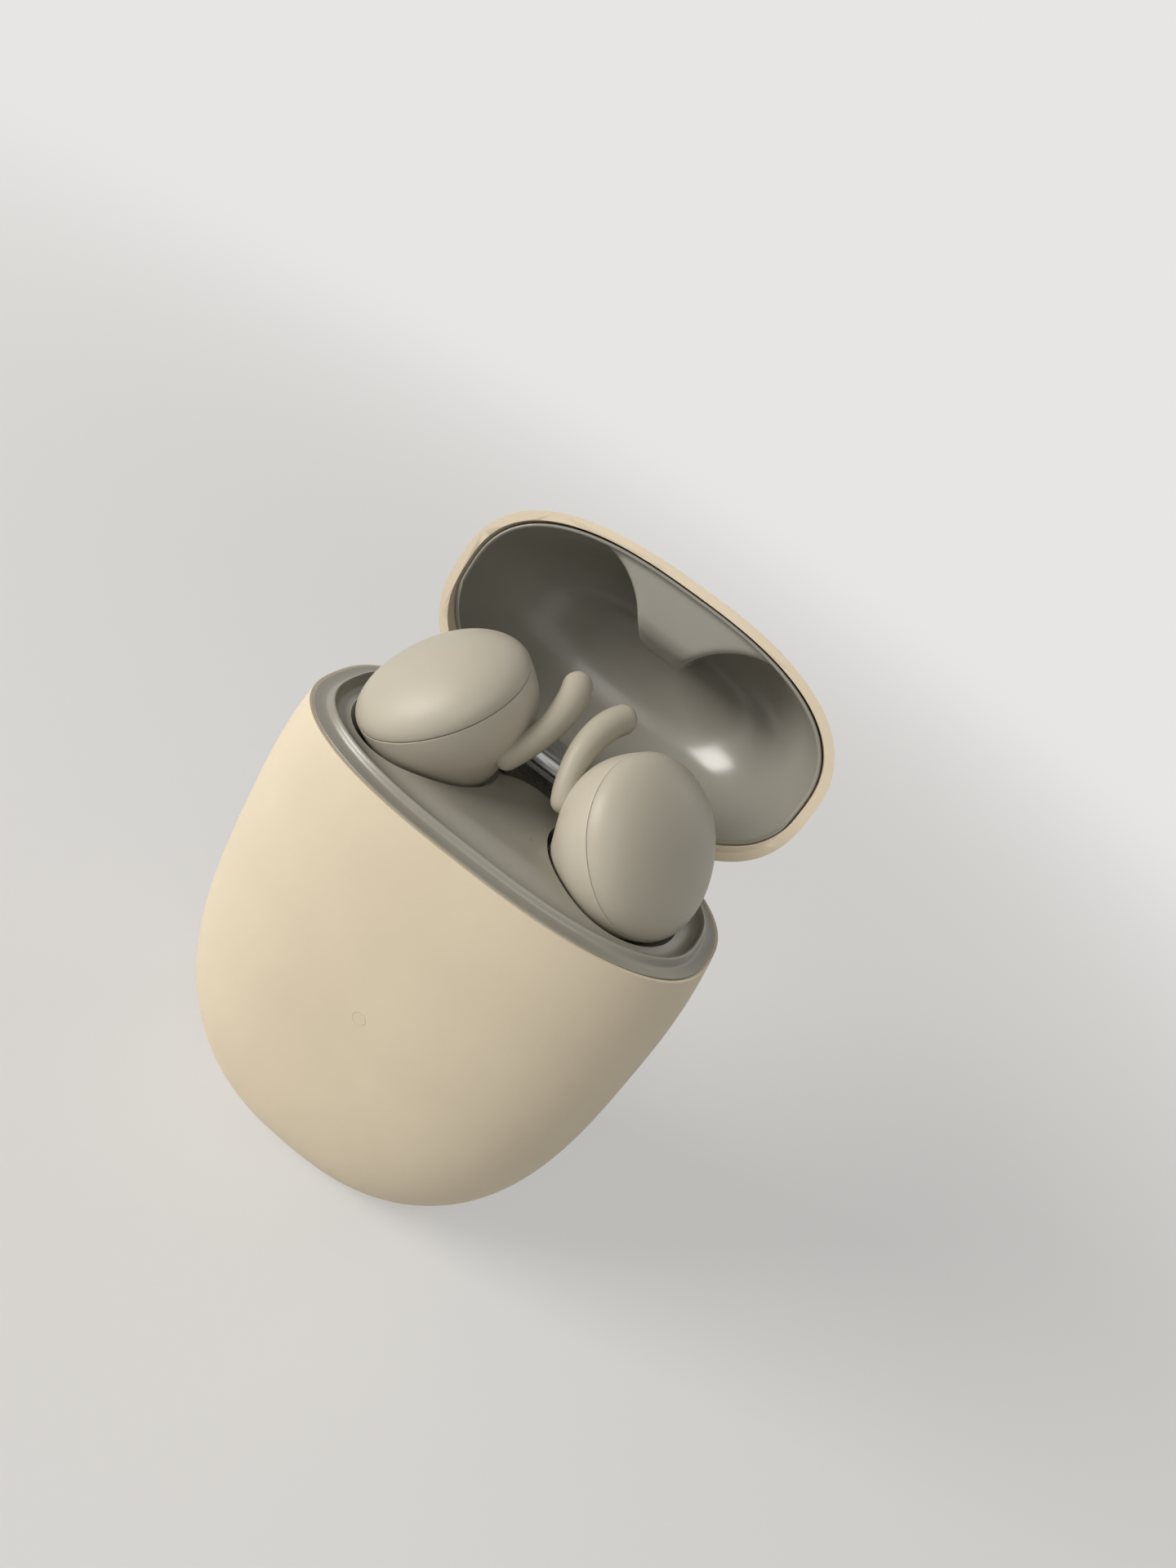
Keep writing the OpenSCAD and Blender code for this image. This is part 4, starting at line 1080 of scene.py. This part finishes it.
place = nodes.new("ShaderNodeTexCoord")
tracks = nodes.new("ShaderNodeTexWave")
tracks.bands_direction = "X"
tracks.inputs["Scale"].default_value = 520
ribbon_tone = nodes.new("ShaderNodeMix")
ribbon_tone.data_type = "RGBA"
ribbon_tone.inputs["A"].default_value = (0.55, 0.26, 0.06, 1)
ribbon_tone.inputs["B"].default_value = (0.68, 0.38, 0.12, 1)
track_bump = nodes.new("ShaderNodeBump")
track_bump.inputs["Distance"].default_value = 0.02 * mm
links.new(place.outputs["Object"], tracks.inputs["Vector"])
links.new(tracks.outputs["Fac"], ribbon_tone.inputs["Factor"])
links.new(tracks.outputs["Fac"], track_bump.inputs["Height"])
links.new(ribbon_tone.outputs["Result"], shader.inputs["Base Color"])
links.new(track_bump.outputs["Normal"], shader.inputs["Normal"])
chip_epoxy = moulded_plastic(
    "black_chip_epoxy", (0.022, 0.022, 0.024), (0.032, 0.032, 0.033),
    0.50, 0.66, 0.008 * mm, grain_size=7000.0)
switch_plastic = moulded_plastic(
    "black_switch_plastic", (0.036, 0.036, 0.038), (0.050, 0.050, 0.050), 0.36, 0.50, 0.006 * mm)
dress(board_resist, "main_board", "usb_board", "left_bud_board", "right_bud_board")
dress(ribbon_film, "flex_cable")
dress(chip_epoxy, "board_chips", "hall_sensor")
dress(switch_plastic, "button_switch")
dress(port_steel, "board_screws")

# Cells, foam and magnets
# A foil pouch cell on a strip of black foam in the body, a steel button cell in each bud, and nickel-plated
# block magnets in the lid, the tray and the buds.
cell_foil = moulded_plastic(
    "creased_cell_foil", (0.55, 0.56, 0.58), (0.47, 0.48, 0.50), 0.22, 0.40, 0.05 * mm, 0.6, 650.0, 200.0)
cell_foam = moulded_plastic(
    "open_cell_foam", (0.040, 0.040, 0.042), (0.060, 0.060, 0.062), 0.85, 0.98, 0.10 * mm, 0.2, 2600.0, 300.0)
cell_steel = brushed_metal(
    "pressed_cell_steel", (0.60, 0.60, 0.58), (0.50, 0.50, 0.48), even_streaks, 0.18, 0.34, 0.003 * mm)
magnet_nickel = brushed_metal(
    "plated_magnet_nickel", (0.52, 0.51, 0.48), (0.43, 0.42, 0.40), even_streaks, 0.22, 0.40, 0.004 * mm)
dress(cell_foil, "case_battery")
dress(cell_foam, "battery_foam")
dress(cell_steel, "left_bud_cell", "right_bud_cell")
dress(magnet_nickel, "lid_magnet", "tray_magnet", "bud_magnets", "left_bud_magnet", "right_bud_magnet")

# Driver, nozzle and mesh
# A round speaker driver in a nickel can, the oval nozzle that leads its sound out, moulded with the housing,
# and a disc of woven steel wire over the nozzle's mouth.
driver_can = brushed_metal(
    "nickel_driver_can", (0.48, 0.47, 0.45), (0.40, 0.39, 0.37), even_streaks, 0.26, 0.44, 0.004 * mm)
wire_mesh = start_material("woven_wire_mesh", (0.40, 0.40, 0.39), 0.35)
nodes = wire_mesh.node_tree.nodes
links = wire_mesh.node_tree.links
shader = nodes["Principled BSDF"]
shader.inputs["Metallic"].default_value = 1.0
place = nodes.new("ShaderNodeTexCoord")
wires = []
for direction in ("X", "Y"):
    wire = nodes.new("ShaderNodeTexWave")
    wire.bands_direction = direction
    wire.inputs["Scale"].default_value = 1100
    links.new(place.outputs["Object"], wire.inputs["Vector"])
    wires.append(wire)
crossing = nodes.new("ShaderNodeMath")
crossing.operation = "MAXIMUM"
# The gaps between the wires are painted near black as painted shade in the mesh's holes, and the wires
# themselves take the metal's grey.
wires_and_gap_shade = nodes.new("ShaderNodeMix")
wires_and_gap_shade.data_type = "RGBA"
wires_and_gap_shade.inputs["A"].default_value = (0.03, 0.03, 0.03, 1)
wires_and_gap_shade.inputs["B"].default_value = (0.48, 0.48, 0.46, 1)
wire_bump = nodes.new("ShaderNodeBump")
wire_bump.inputs["Distance"].default_value = 0.06 * mm
links.new(wires[0].outputs["Fac"], crossing.inputs[0])
links.new(wires[1].outputs["Fac"], crossing.inputs[1])
links.new(crossing.outputs["Value"], wires_and_gap_shade.inputs["Factor"])
links.new(crossing.outputs["Value"], wire_bump.inputs["Height"])
links.new(wires_and_gap_shade.outputs["Result"], shader.inputs["Base Color"])
links.new(wire_bump.outputs["Normal"], shader.inputs["Normal"])
dress(driver_can, "left_bud_driver", "right_bud_driver")
dress(housing_plastic, "left_bud_nozzle", "right_bud_nozzle")
dress(wire_mesh, "left_bud_mesh", "right_bud_mesh")
